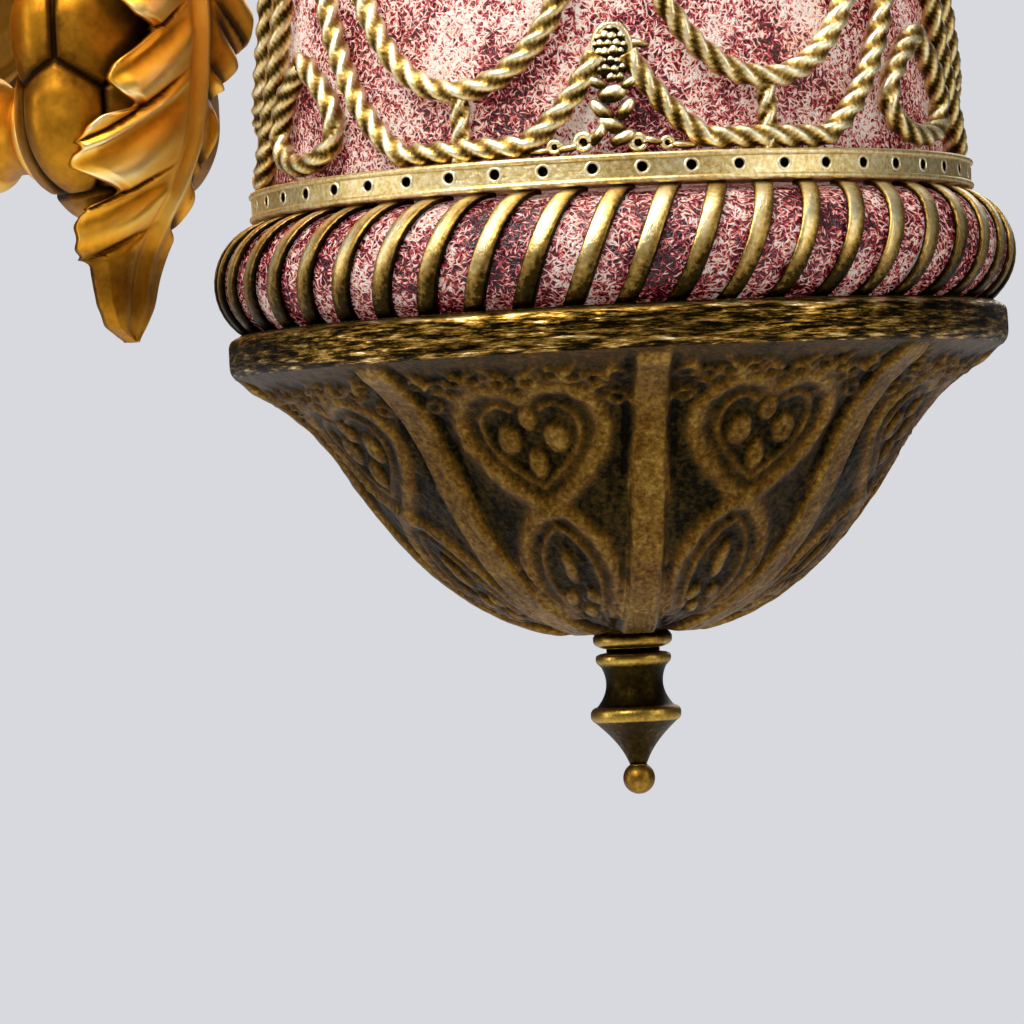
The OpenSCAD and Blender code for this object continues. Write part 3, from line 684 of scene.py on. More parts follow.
def lobe(solid, centre, radii, angle):
    """Rounded leaf or bead, turned in the plane of the glass, with painted shade along its lower edge
    and its top painted light.
    """
    ball(solid, centre, radii, 12, 20, np.array(Matrix.Rotation(math.radians(angle), 3, "Z")))
    up = (solid.points[-1][:, 1] - centre[1]) / max(radii[:2])
    solid.values["wear_and_painted_light"][-1] = 0.12 + 0.85 * ease(up, -0.45, 0.35)


def curl(solid, x, y, r):
    """Small scroll: a ring with a dark pit in it."""
    a = np.linspace(0, 1.9 * math.pi, 28)
    ring = np.stack([x + r * np.cos(a), y + r * np.sin(a), 2.6 + 0 * a], 1)
    tapered(solid, ring, lambda t: 0.55 * r * (1.1 - 0.35 * t), wear_and_painted_light=0.8)
    ball(solid, (x, y, 1.9), (0.8 * r, 0.8 * r, 0.7), 8, 12, wear_and_painted_light=0.0)


def palmette():
    """One palmette laid flat: x across, y up from the band, z off the glass, in millimetres."""
    solid = Solid()
    rng = np.random.default_rng(4)
    # Lumpy bud: bright grains over a dark core, inside a hood that is thickest at its top
    bud_y, bud_w, bud_h = 21.6, 3.9, 6.2
    ball(solid, (0, bud_y, 2.0), (bud_w, bud_h, 2.1), 16, 24, wear_and_painted_light=0.05)
    for row in range(7):
        for col in range(-2, 3):
            x = (col + (row % 2) * 0.5 - 0.25) * 1.55 + rng.uniform(-0.3, 0.3)
            y = bud_y - 5.2 + row * 1.72 + rng.uniform(-0.3, 0.3)
            room = 1 - (x / bud_w) ** 2 - ((y - bud_y) / bud_h) ** 2
            if room > 0.08:
                size = rng.uniform(0.65, 1.1)
                lobe(solid, (x, y, 2.0 + 2.1 * math.sqrt(room)), (size, size * 1.2, 0.7),
                     rng.uniform(-50, 50))
    a = np.linspace(-0.5, math.pi + 0.2, 50)
    hood = np.stack([bud_w * np.cos(a), bud_y + bud_h * np.sin(a), 2.9 + 0 * a], 1)
    tapered(solid, hood, lambda t: 0.35 + 0.55 * np.sin(np.pi * t), wear_and_painted_light=0.8)
    lobe(solid, (5.4, 23.4, 2.3), (2.6, 0.9, 1.1), -12)
    # Leaves that overlap down the stalk
    for x, y, long, wide, angle in (
        (-3.4, 15.4, 2.8, 1.2, 150), (3.2, 15.0, 2.6, 1.1, 35), (-0.2, 12.9, 3.1, 2.0, 15),
        (-2.5, 9.2, 3.5, 1.5, -48), (2.3, 9.4, 3.0, 1.4, 55), (-0.6, 6.2, 3.2, 1.6, -30),
        (1.6, 3.4, 3.0, 1.5, 25), (-3.4, 4.4, 2.8, 1.2, 60),
    ):
        lobe(solid, (x, y, 2.9), (long, wide, 1.7), angle)
    # Scrolls and slim leaves that spread along the band under the swags
    for x, y, r in ((-6.6, 2.9, 1.6), (4.6, 2.3, 1.5), (-12.6, 2.2, 1.2), (10.6, 2.0, 1.1)):
        curl(solid, x, y, r)
    for x, y, long, angle in ((-9.6, 1.8, 2.8, 8), (7.6, 2.6, 2.6, -14), (-15.6, 1.4, 2.4, 4),
                              (14.0, 1.4, 2.8, -6)):
        lobe(solid, (x, y, 2.4), (long, 0.9, 1.2), angle)
    return solid


def palmettes():
    flat = palmette()
    points = np.concatenate(flat.points)
    wear_and_painted_light = np.concatenate(flat.values["wear_and_painted_light"])
    solid = Solid()
    for middle in PALMETTES:
        for foot in (True, False):
            y = np.clip(points[:, 1], 0.2, 28.0)
            h = y if foot else CAGE_H - y
            x = points[:, 0] if foot else -points[:, 0]
            angle = middle + np.degrees(x / cage_radius(h))
            solid.add(on_cage(angle, h, points[:, 2]), flat.faces, wear_and_painted_light)
    solid.on_lantern("cast_palmettes", CAST, "palmettes")


palmettes()


def eyelets():
    """Blind eyelets in the holes of both bands: rubbed rims, and black insides that are painted shade.
    """
    solid = Solid()
    count, sides = 48, 14
    a = full_turn(sides)[:, None]
    rings = np.array([(1.75, 0.02), (1.6, 0.16), (1.25, 0.16), (1.1, -0.2), (1.05, -1.4),
                      (0.02, -1.4)])
    # Rubbed rims stay bright; the sleeve and the blind bottom are black, painted shade in the holes.
    shade = spread([0.85, 1.0, 0.8, 0.0, 0.0, 0.0], sides)
    for node, offset in (("lower_band", 0.2), ("upper_band", -0.2)):
        middle = [0, 0, (level(node) + level(node, top=True)) / 2 + offset]
        lift = (half_width(node) - 0.7 + rings[:, 1])[:, None, None]
        for turn in full_turn(count) + math.pi / count:
            out = np.array([math.cos(turn), math.sin(turn), 0])
            face = np.cos(a) * [-out[1], out[0], 0] + np.sin(a) * [0, 0, 1]
            verts = lift * out + middle + rings[:, 0][:, None, None] * face[None]
            solid.add(verts, grid_quads(len(rings), sides, close_cols=True), shade)
    solid.on_lantern("band_eyelets", CAST)


eyelets()


# ---------------------------------------------------------------- embossed bowl and crown

def bell(foot_r, waist_r, rim_r, h):
    """Outer curve of the bowl or the crown, the same rule as the frame's."""
    steps = 40
    flare = rim_r - waist_r
    waist = (waist_r, 0.553 * h)
    lower = bezier((foot_r, 0), (0.59 * waist_r, 0.03 * h), (0.845 * waist_r, 0.334 * h), waist,
                   steps)
    upper = bezier(waist, (waist_r + 0.22 * flare, 0.69 * h), (waist_r + 0.49 * flare, 0.807 * h),
                   (rim_r, 0.887 * h), steps)
    return np.vstack([lower, upper[1:]])


def even(profile, count):
    s = np.concatenate([[0], np.cumsum(np.linalg.norm(np.diff(profile, axis=0), axis=1))])
    t = np.linspace(0, s[-1], count)
    return np.stack([np.interp(t, s, profile[:, k]) for k in range(2)], 1), t


def near(x, y, line):
    """Distance from every point to a curve that is given as close points."""
    line = np.asarray(line, float)
    best = np.full(x.shape, 1e9)
    for px, py in line:
        best = np.minimum(best, (x - px) ** 2 + (y - py) ** 2)
    return np.sqrt(best)


def curve(*points, steps=60):
    """Smooth closed or open curve through points, by Catmull-Rom."""
    p = np.asarray(points, float)
    closed = np.allclose(p[0], p[-1])
    ends = (p[-2], p[1]) if closed else (2 * p[0] - p[1], 2 * p[-1] - p[-2])
    p = np.vstack([ends[0], p, ends[1]])
    out = []
    per = max(4, steps // (len(p) - 3))
    for i in range(1, len(p) - 2):
        t = np.linspace(0, 1, per, endpoint=False)[:, None]
        a, b, c, d = p[i - 1], p[i], p[i + 1], p[i + 2]
        out.append(0.5 * ((2 * b) + (c - a) * t + (2 * a - 5 * b + 4 * c - d) * t**2
                          + (3 * b - a - 3 * c + d) * t**3))
    return np.vstack(out)


def petal(x, y, px, py, rx, ry):
    return np.sqrt(np.clip(1 - ((x - px) / rx) ** 2 - ((y - py) / ry) ** 2, 0, 1))


def panel_relief(rows, cols, half_widths, lengths):
    """Relief of one embossed panel, in millimetres, over rows up the wall and cols across it."""
    u = np.linspace(-1, 1, cols, endpoint=False)[None, :]
    size = lengths[-1] / 102.5
    x = u * half_widths[:, None] / size
    y = np.broadcast_to(lengths[:, None], (rows, cols)) / size
    half = half_widths[:, None] / size
    side = half - np.abs(x)
    mirror = np.abs(x)
    field = np.zeros((rows, cols))
    # Shield: a broad band open towards the rim, an inner line and a flower of four petals
    shield = curve((0, 55), (5.5, 59.5), (11, 65.5), (15, 72), (16.4, 78), (14.8, 84), (10, 88),
                   (4, 87.5), (0, 84.5))
    inner = curve((0, 61), (4.6, 65), (8.8, 70), (11, 75.5), (10.2, 80.5), (6.5, 83.2), (3, 81.5))
    field += 1.25 * bump(near(mirror, y, shield), 2.3) + 0.8 * bump(near(mirror, y, inner), 1.0)
    field += 0.35 * bump(near(mirror, y, shield[::3]), 0.7)
    for px, py, rx, ry in ((5.4, 73.5, 3.1, 4.3), (0, 79.0, 2.4, 3.6), (0, 67.0, 2.5, 4.2)):
        field += 1.35 * petal(mirror, y, px, py, rx, ry) - 0.5 * petal(mirror, y, px, py, 0.8, 1.2)
    # Bell-shaped arch that hangs from the shield's foot, with its stamen
    arch = curve((0, 55), (4.6, 52), (8.2, 46), (9.8, 38), (9.4, 30), (7.4, 23), (5, 16))
    lining = curve((0, 50), (3.4, 46), (5.4, 40), (5.7, 33), (4.4, 26), (2.6, 20))
    field += 1.2 * bump(near(mirror, y, arch), 2.2) + 0.8 * bump(near(mirror, y, lining), 0.9)
    field += 0.35 * bump(near(mirror, y, arch[::4]), 0.7)
    for px, py, rx, ry in ((0, 37.5, 1.7, 6.5), (2.3, 26.5, 1.6, 3.2), (0, 20, 1.5, 3.0)):
        field += 1.1 * petal(mirror, y, px, py, rx, ry)
    # Stems that follow the ribs
    stem = curve((12.6, 38), (14.2, 46), (16.4, 55), (19.6, 64), (22.6, 74), (24.5, 84))
    field += 0.8 * bump(near(mirror, y, stem), 1.0)
    # Scrolls between the shield and the rim
    for px, py, r in ((3.2, 91.5, 2.2), (8.6, 93.2, 2.0), (13.6, 92.4, 2.2), (18.6, 90.6, 2.3),
                      (23.4, 92.0, 2.1), (21.2, 84.2, 1.9)):
        turn = np.linspace(0.6, 5.6, 16)
        hook = np.stack([px + r * np.cos(turn + px), py + r * 0.9 * np.sin(turn + px)], 1)
        field += 0.95 * bump(near(mirror, y, hook), 0.75)
    for (ax, ay), (bx, by) in (((0.5, 90), (6.5, 96.5)), ((9.5, 89.5), (15.5, 96.8)),
                               ((16.5, 87), (24.0, 96.5))):
        leaf = np.stack([np.linspace(ax, bx, 20), np.linspace(ay, by, 20)], 1)
        field += 0.7 * bump(near(mirror, y, leaf), 0.9)
    field *= ease(y, 9, 16) * ease(y, 99, 95)
    # Ribs, each with a groove on both sides
    rib = 1.5 * ease(side, 4.6, 3.0) - 0.55 * bump(side - 5.3, 0.9)
    relief = np.where(side < 4.6, np.maximum(rib, field), field + rib)
    relief *= ease(y, 1, 7) * ease(y, 103, 97)
    return np.clip(relief, -0.6, 1.7)


SEAT_GAP = 0.06  # the bowl's land stays this far below the ring that it seats on


def embossed_shell(name, body, node, foot_r, waist_r, rim_r, land_r, h, upright, upstand=0.0):
    """Bell-shaped shell of eight embossed panels. The crown is the same shell upside down."""
    rows, panel_cols, panels, wall = 136, 112, 8, 1.6
    cols = panel_cols * panels
    profile, lengths = even(bell(foot_r, waist_r, rim_r - 1.2, h), rows)
    relief = panel_relief(rows, panel_cols, profile[:, 0] * math.pi / panels, lengths)
    relief = np.tile(relief, (1, panels))
    height = spread(lengths / lengths[-1], cols)
    hammered = smooth_noise(rows, cols, 2, 3)
    tangent = unit(np.gradient(profile, axis=0))
    normal = np.stack([tangent[:, 1], -tangent[:, 0]], 1)
    lift = relief + 0.16 * hammered * ease(height, 0.03, 0.1) * ease(height, 0.99, 0.95)
    outer = profile[:, None] + normal[:, None] * lift[..., None]
    wear_and_painted_light = 0.16 + 0.66 * ease(relief, 0.0, 1.1) - 0.25 * ease(relief, -0.05, -0.5)
    wear_and_painted_light += 0.20 * ease(height, 0.34, 0.06) + 0.30 * ease(height, 0.90, 0.97) + 0.14 * hammered
    top = h + upstand
    land_z = h - SEAT_GAP
    seat = [(rim_r - 2.2, land_z)] if upstand > 0 else []
    lip = np.array([(rim_r - 0.5, 0.900 * h), (rim_r - 0.1, 0.915 * h), (rim_r, 0.935 * h),
                    (rim_r, top - 2.2), (rim_r - 0.3, top - 1.2), (rim_r - 0.9, top - 0.5),
                    (rim_r - 2.2, top), *seat, (land_r, land_z)])
    lip = even(lip, 26)[0]
    uneven = smooth_noise(len(lip), cols, 3, 8) * 0.22
    uneven[lip[:, 0] < rim_r - 1] = 0
    rim = np.repeat(lip[:, None], cols, 1)
    rim[..., 0] += np.minimum(uneven, 0)
    # The rolled top edge of the rim is bright, partly rubbed gold and partly a painted highlight; the
    # face below it is darker.
    rim_wear_and_highlight = np.interp(lip[:, 1] - top, [-6.5, -4.2, -3.4, -1.6, -0.7, 0],
                         [0.62, 0.58, 0.46, 0.54, 1.0, 0.95])
    inner = even(bell(foot_r - wall, waist_r - 1.1 * wall, land_r, h)[::-1] + [0, wall], 20)[0]
    section = np.concatenate([outer, rim, np.repeat(inner[:, None], cols, 1)])
    values = np.concatenate([wear_and_painted_light, spread(rim_wear_and_highlight, cols), np.full((len(inner), cols), 0.35)])
    z = section[..., 1] if upright else -section[..., 1]
    verts = around(section[..., 0], z, np.radians(FIRST_RIB) + full_turn(cols))
    faces = grid_quads(len(section), cols, close_rows=True, close_cols=True, flip=not upright)
    base = level(node, top=not upright)
    obj = Solid().add(verts, faces, np.clip(values, 0, 1)).piece(
        name, body, "antique_brass", BOWL, [node], LANTERN + [0, 0, base])
    obj.data.materials.append(RIM)
    index = np.zeros(len(obj.data.polygons), int)
    index[(rows - 1) * cols:(rows - 1 + len(lip)) * cols] = 1
    obj.data.polygons.foreach_set("material_index", index)


BOWL_R = half_width("bowl")
BOWL_H = level("base_ring")
CROWN_H = level("crown_dome", top=True) - level("crown_dome")
FIRST_RIB = FRONT + 4.0
embossed_shell("embossed_bowl", "bowl", "bowl", 10, 0.694 * BOWL_R, BOWL_R, BOWL_R - 7.6, BOWL_H,
               upright=True, upstand=level("bowl", top=True) - BOWL_H)
embossed_shell("embossed_crown", "lantern", "crown_dome", 15, 54, 82, 76, CROWN_H, upright=False)


# ---------------------------------------------------------------- turned pieces

def turned(name, body, slot, material, node, parts, at=LANTERN, cols=96, axis_turn=np.eye(3)):
    """Turned piece from (points, wear) parts. The [radius, height] points go round outwards."""
    profile = np.concatenate([points for points, _ in parts])
    wear_and_painted_light = np.concatenate([np.full(len(points), value) for points, value in parts])
    verts = around(profile[:, :1], profile[:, 1:], full_turn(cols)[None]) @ axis_turn.T
    solid = Solid().add(verts, grid_quads(len(profile), cols, close_cols=True), spread(wear_and_painted_light, cols))
    solid.piece(name, body, slot, material, [node], at)


def finial():
    ball_r = 3.6
    a = np.radians(np.linspace(-90, 62, 14))
    bead = np.stack([np.maximum(ball_r * np.cos(a), 0.01),
                     level("finial") + ball_r * (1 + np.sin(a))], 1)
    turned("turned_finial", "finial", "antique_brass", TURNED, "finial", [
        (bead, 0.7),
        (bezier((1.9, -30.2), (3.4, -26), (6.5, -23), (9.2, -20.6), 14), 0.5),
        ([(9.7, -20.3), (10.15, -19.6), (10.2, -18.8), (10.15, -18.2)], 0.95),
        ([(9.8, -17.6), (9.2, -17.2)], 0.7),
        (bezier((8.6, -17.0), (6.0, -14), (5.9, -11), (7.3, -8.2), 14), 0.40),
        ([(8.3, -7.2), (8.5, -6.6), (8.5, -6.0), (8.3, -5.5)], 0.95),
        ([(7.4, -5.1), (6.0, -4.9), (6.0, -4.0), (3.1, -4.0)], 0.15)])


def finial_washer():
    turned("turned_washer", "finial", "antique_brass", TURNED, "finial_washer", [
        ([(3.4, -4.0), (6.4, -4.0)], 0.2),
        (bezier((6.4, -4), (8.2, -3.6), (8.9, -3), (8.9, -2.2), 8), 0.9),
        ([(8.9, -1.4), (8.4, -0.6), (7.6, 0.0), (3.4, 0.0)], 0.5)])


def loop_collar():
    turned("turned_collar", "lantern", "antique_brass", CAST, "loop_collar", [
        ([(5.1, 0), (14.2, 0)], 0.2),
        (bezier((14.2, 0), (15.2, 0.4), (15.2, 2.2), (14, 2.6), 6), 0.9),
        (bezier((12, 3.4), (8, 5), (8, 7), (11, 8.6), 8), 0.4),
        (bezier((11, 8.6), (12.9, 9.2), (12.9, 11), (11.4, 11.6), 6), 0.9),
        ([(10.6, 12), (5.1, 12)], 0.4)], LANTERN + [0, 0, level("loop_collar")])


finial()
finial_washer()
loop_collar()

OFF_WALL = np.array([[1, 0, 0], [0, 0, -1], [0, 1, 0]])  # turns a piece's axis from +Z to -Y


def boss(node, parts_for):
    """Turned boss between the wall plate and the bracket, from its radius and its length."""
    low, high = low_corner(node), high_corner(node)
    turned(node + "_turning", "bracket", "gilt_casting", GILT, node,
           parts_for(half_width(node), high[1] - low[1]),
           (0, high[1], (low[2] + high[2]) / 2), 64, OFF_WALL)


boss("lower_boss", lambda r, long: [
    ([(0.01, 0), (r, 0)], 0.2),
    (bezier((r, 0), (r + 0.6, 1), (r + 0.6, 4), (r - 1.5, 5), 8), 0.85),
    (bezier((r - 2.4, 6), (r - 4, 9), (r - 4, 13), (r - 2.4, 16), 8), 0.45),
    (bezier((r - 1.5, 17), (r, 17.6), (r, long - 0.6), (r - 1, long), 8), 0.85),
    ([(0.01, long)], 0.2)])
boss("upper_boss", lambda r, long: [
    ([(4, 0), (r - 0.6, 0)], 0.2),
    (bezier((r - 0.6, 0), (r, 1), (r, 3), (r - 2, 4), 6), 0.85),
    (bezier((r - 3, 4.6), (8, 6), (6.5, 9), (6.5, 14), 8), 0.5),
    (bezier((7.2, 15), (9, 15.4), (9, 18.6), (7.2, 19), 6), 0.9),
    ([(6.5, 20), (6.5, 24), (8, long - 3), (8, long), (4, long)], 0.5)])


# ---------------------------------------------------------------- bracket

# The leaf's outline and bend, as [height, value] rows. The near side lies at x < 0
LEAF_MID = [(-167.3, -54.6), (-162, -56.9), (-157.4, -57.7), (-153, -58.3), (-147, -60.5),
            (-141.5, -63.9), (-138.2, -66), (-134, -69), (-128, -72.3), (-121, -75.4),
            (-107.6, -77.6), (-94, -78.7), (-80, -78.4), (-60, -75.5), (-40, -70.8), (-8, -64.4)]
NEAR_HALF = [(-167.3, 0.6), (-163.7, 8.9), (-158.6, 12.3), (-152.7, 13.5), (-148, 15),
             (-145.8, 19.4), (-140.5, 20.3), (-135.7, 20.8), (-133, 15), (-130, 24),
             (-127, 28.9), (-118.4, 30.9), (-115.3, 28.8), (-113.5, 18.2), (-111, 25.6),
             (-107.3, 27.7), (-103, 26.6), (-99.5, 20.7), (-95.4, 15.8), (-93, 24.5), (-86, 27),
             (-80, 24), (-76, 15.5), (-70, 23), (-62, 21), (-57.5, 12.5), (-50, 17.5),
             (-43, 15), (-40, 9.5), (-30, 12.5), (-20, 9), (-8, 4)]
FAR_HALF = [(-167.3, 0.6), (-160, 5), (-148, 7), (-112, 7.5), (-108, 11), (-103, 17),
            (-98, 22.5), (-90, 24), (-80, 21), (-76, 13), (-70, 20), (-62, 19), (-57.5, 12.5),
            (-50, 16), (-43, 14), (-40, 9.5), (-30, 12.5), (-20, 9), (-8, 4)]
NEAR_BEND = [(-167.3, 0.022), (-158, 0.024), (-150.7, 0.028), (-138, 0.0185), (-130, 0.0145),
             (-121, 0.0118), (-114, 0.0094), (-98, 0.004), (-86, 0.006), (-60, 0.02),
             (-40, 0.04), (-8, 0.06)]
FAR_BEND = [(-167.3, 0.04), (-112, 0.02), (-98, 0.003), (-86, 0.006), (-60, 0.02),
            (-40, 0.04), (-8, 0.06)]
LEAF_LOBES = [-200, -137.5, -122.6, -101, -84.5, -65.3, -48.9, -33.4, 30]
LOBE_SLOPE = 0.69
LEAF_THICK = 1.5


def lobe_relief(across, along, half, lobes, slope):
    """Height over a leaf's plain sheet, and a value for its colour: cupped lobes with rolled upper
    edges, painted shade in the folds and painted highlights on the upper edges and along the midrib.
    """
    c = along + slope * np.abs(across)
    lobes = np.asarray(lobes, float)
    k = np.clip(np.searchsorted(lobes, c) - 1, 0, len(lobes) - 2)
    depth = np.minimum(c - lobes[k], lobes[k + 1] - c)
    span = np.minimum(lobes[k + 1] - lobes[k], 20)
    t = np.clip((c - lobes[k]) / span, 0, 1)
    share = np.abs(across) / np.maximum(half, 1)
    out = ease(share, 0.08, 0.70)
    ridge = 3.0 * bump(t - 0.40, 0.30)
    hollow = -1.9 * bump(t - 0.78, 0.16)
    rolled = 2.6 * ease(t, 0.90, 1.0)
    fold = -2.2 * bump(depth, 1.2)
    midrib = 1.5 * bump(across, 1.8) - 0.7 * bump(np.abs(across) - 3.8, 1.4)
    height = out * (ridge + hollow + rolled + fold) + midrib
    # Raised parts lighter; painted shade darkens the folds between the lobes.
    wear_and_painted_light = 0.52 + 0.13 * height - 0.34 * out * bump(depth, 1.6)
    # Painted highlights: the rolled upper edges, the leaf's outline and a band beside the midrib.
    wear_and_painted_light += 0.42 * out * bump(t - 0.93, 0.09) + 0.25 * ease(share, 0.95, 1.0)
    wear_and_painted_light += 0.16 * bump(across + 3, 4)
    return height, wear_and_painted_light


def two_sided(front, back, wear_and_painted_light, flip=False):
    """Sheet whose front carries the rubbing and painted light values and whose back is plain, closed
    round its edges.
    """
    ring = np.concatenate([front, back[:, ::-1]], 1)
    values = np.concatenate([wear_and_painted_light, np.full(wear_and_painted_light.shape, 0.3)], 1)
    return Solid().add(ring, capped(*ring.shape[:2], flip), values)


def acanthus_leaf():
    along = np.linspace(LEAF_MID[0][0], LEAF_MID[-1][0], 420)
    across = np.linspace(-1, 1, 97)
    near_side = (across < 0)[None]

    def softened(rows, width):
        values = np.interp(along, *np.array(rows).T)
        k = np.exp(-0.5 * (np.arange(-12, 13) / width) ** 2)
        return np.convolve(np.pad(values, 12, mode="edge"), k / k.sum(), "valid")[:, None]

    half = np.where(near_side, softened(NEAR_HALF, 1.6), softened(FAR_HALF, 1.6))
    bend = np.where(near_side, softened(NEAR_BEND, 5), softened(FAR_BEND, 5))
    x = across * half
    z = spread(along, len(across))
    height, wear_and_painted_light = lobe_relief(x, z, half, LEAF_LOBES, LOBE_SLOPE)
    fade = 0.3 + 0.7 * ease(z, -167, -157)
    # Painted shade: the far half of the leaf is darker.
    wear_and_painted_light += np.where(near_side, 0.04, -0.20 * ease(across, 0.05, 0.4))
    # Painted shade: the lower tip is held at an even, darker value.
    tip = ease(z, -136, -150)
    wear_and_painted_light = wear_and_painted_light * (1 - tip) + 0.36 * tip
    y = softened(LEAF_MID, 5) + bend * x**2 - 0.75 * height * fade
    y += 1.6 * ease(np.abs(across), 0.88, 1.0)
    front = np.stack([x, y, z], -1)
    back = np.stack([x * 0.985, y + LEAF_THICK, z], -1)
    two_sided(front, back, np.clip(wear_and_painted_light, 0.05, 1)).on_bracket("gilt_leaf", "acanthus_leaf")


acanthus_leaf()


POD_X, POD_Y, POD_AT_Y = 33.0, 19.0, -53.0  # the pod's half-widths and its belly's centre
POD_LOW, POD_HIGH = low_corner("bracket_pod")[2], high_corner("bracket_pod")[2]
POD_SEEDS = ((-115.0, 10), (-94.0, 40), (-74.0, 10), (-56.0, 40))  # panel rings: height, first angle


def pod_section(z):
    """Half-widths and centre of the pod at height z."""
    belly_low, belly_high = POD_LOW + 25, POD_LOW + 49
    under = np.sqrt(np.clip(1 - ((z - belly_low) / 25) ** 2, 0, 1))
    t = np.clip((z - belly_high) / (POD_HIGH - belly_high), 0, 1)
    r = np.where(z < belly_low, under, 1 - 0.66 * t**1.6)
    return POD_X * r, POD_Y * r, POD_AT_Y - 4.5 * ease(t, 0, 1)


def bracket_pod():
    """Bulb of six-sided panels parted by raised seams."""
    rows, cols = 220, 300
    t = np.linspace(0, math.pi, rows)
    z = spread(POD_LOW + 0.02 + (POD_HIGH - POD_LOW - 0.04) * (1 - np.cos(t)) / 2, cols)

    def surface(angle, height):
        rx, ry, cy = pod_section(height)
        return np.stack([rx * np.cos(angle), cy + ry * np.sin(angle), height], -1)

    base = surface(np.broadcast_to(full_turn(cols), z.shape), z)
    seeds = [surface(np.radians(first + 60 * i), np.array(height))
             for height, first in POD_SEEDS for i in range(6)]
    seeds.append(np.array([0, POD_AT_Y, POD_LOW - 1]))
    d = np.sort(np.stack([np.linalg.norm(base - s, axis=-1) for s in seeds]), axis=0)
    edge = (d[1] - d[0]) / 2
    relief = ease(edge, 0.4, 7.0) - 1.1 * bump(edge, 0.8) - 1.0
    middle = np.stack([0 * z, pod_section(z)[2], z], -1)
    out = unit((base - middle) / [POD_X**2, POD_Y**2, 1])
    down = ease(z, POD_LOW + 14, POD_LOW)[..., None]
    out = unit(out * (1 - down) + np.array([0, 0, -1]) * down)
    shaped = base + out * relief[..., None]
    shaped[..., 1] = np.minimum(shaped[..., 1], high_corner("bracket_pod")[1])
    wear_and_painted_light = 0.31 - 0.45 * bump(edge, 0.8) + 0.08 * ease(edge, 1, 7)
    Solid().add(shaped, capped(rows, cols), np.clip(wear_and_painted_light, 0, 1)).on_bracket(
        "panelled_pod", "bracket_pod")


bracket_pod()


SIDEWAYS = np.array([1.0, 0, 0])
ARM_R, ARM_TIP_R = 9.0, 5.0
EYE_R, EYE_WIRE_R, EYE_NECK = 8.0, 2.2, 6.0
ARM_TOP_Z = low_corner("arm_eye")[2] + 2 * (EYE_R + EYE_WIRE_R) + EYE_NECK + ARM_R


def arm_path(step):
    """Points along the arm's centre line, the same rule as the frame's."""
    top = ARM_TOP_Z
    centre = np.array([AXIS_Y - 47, top - 24])
    share = np.linspace(0, 1, 60)[1:, None]
    a = np.radians(90 + 405 * share)
    flat = np.vstack([
        bezier((-60, -96), (-60, -40), (-38, 20), (-60, 76), 30),
        bezier((-60, 76), (-76, 118), (-118, top + 14), (AXIS_Y, top), 40)[1:],
        bezier((AXIS_Y, top), (AXIS_Y - 20, top - 4), centre + [14, 24], centre + [0, 24], 12)[1:],
        centre + (24 - 15 * share) * np.hstack([np.cos(a), np.sin(a)])])
    return resample(np.column_stack([0 * flat[:, 0], flat]), step)


def scroll_arm():
    """Fluted arm that tapers into the volute, with three collars on its bend."""
    points, s, length = arm_path(1.2)
    sides, flutes = 60, 10
    a = full_turn(sides)
    taper = ARM_R + (ARM_TIP_R - ARM_R) * ease(s / length, 0.25, 1.0)
    groove = 0.5 - 0.5 * np.cos(flutes * a)
    radii = taper[:, None] * (1 - 0.10 * (1 - groove) ** 2)
    wear_and_painted_light = np.broadcast_to(0.35 + 0.4 * groove**0.6, radii.shape)
    solid = Solid()
    sweep(solid, points, np.broadcast_to(SIDEWAYS, points.shape), radii, False, wear_and_painted_light)
    for share in (0.505, 0.515, 0.525):
        k = int(share * len(points))
        t = unit(points[k + 1] - points[k])
        spoke = np.cos(a)[:, None] * SIDEWAYS + np.sin(a)[:, None] * np.cross(SIDEWAYS, t)
        ring = points[k] + (taper[k] + 0.2) * spoke
        sweep(solid, ring, np.broadcast_to(t, ring.shape), np.full((sides, 8), 1.5), True, 0.85)
    solid.on_bracket("fluted_arm", "scroll_arm")


scroll_arm()


def upper_leaf():
    """Leaf that lies along the outside of the arm's bend and lifts off it at the tip."""
    long, step = 165, 0.8
    points = arm_path(step)[0]
    low, high = low_corner("upper_leaf"), high_corner("upper_leaf")
    first = int(np.argmin(np.hypot(points[:, 1] - high[1], points[:, 2] - low[2])))
    keep = points[first:first + int(long / step)]
    u = np.linspace(0, 1, len(keep))[:, None]
    lift = np.cross(SIDEWAYS, unit(np.gradient(keep, axis=0)))
    notch = sum(bump(long * u - k, 2.2) for k in (30.0, 53.0, 76.0, 98.0, 120.0, 139.0))
    half = (3 + 17 * np.sin(math.pi * u**0.7)) * (1 - 0.42 * notch)
    across = np.linspace(-1, 1, 61)
    x = across * half
    lobes = [-200.0, -147, -130, -110, -88, -66, -44, -22, 40]
    height, wear_and_painted_light = lobe_relief(x, spread(-long * u[:, 0], 61), half, lobes, 0.5)
    wear_and_painted_light = wear_and_painted_light - 0.35 * ease(u, 0.6, 0.95)
    off = ARM_R + 0.8 + 6 * u**2 - 9 * np.sin(math.pi * u) * across**2 + 0.35 * height
    front = keep[:, None] - off[..., None] * lift[:, None] + x[..., None] * SIDEWAYS
    back = front + LEAF_THICK * lift[:, None]
    two_sided(front, back, wear_and_painted_light, flip=True).on_bracket("gilt_upper_leaf", "upper_leaf")


upper_leaf()


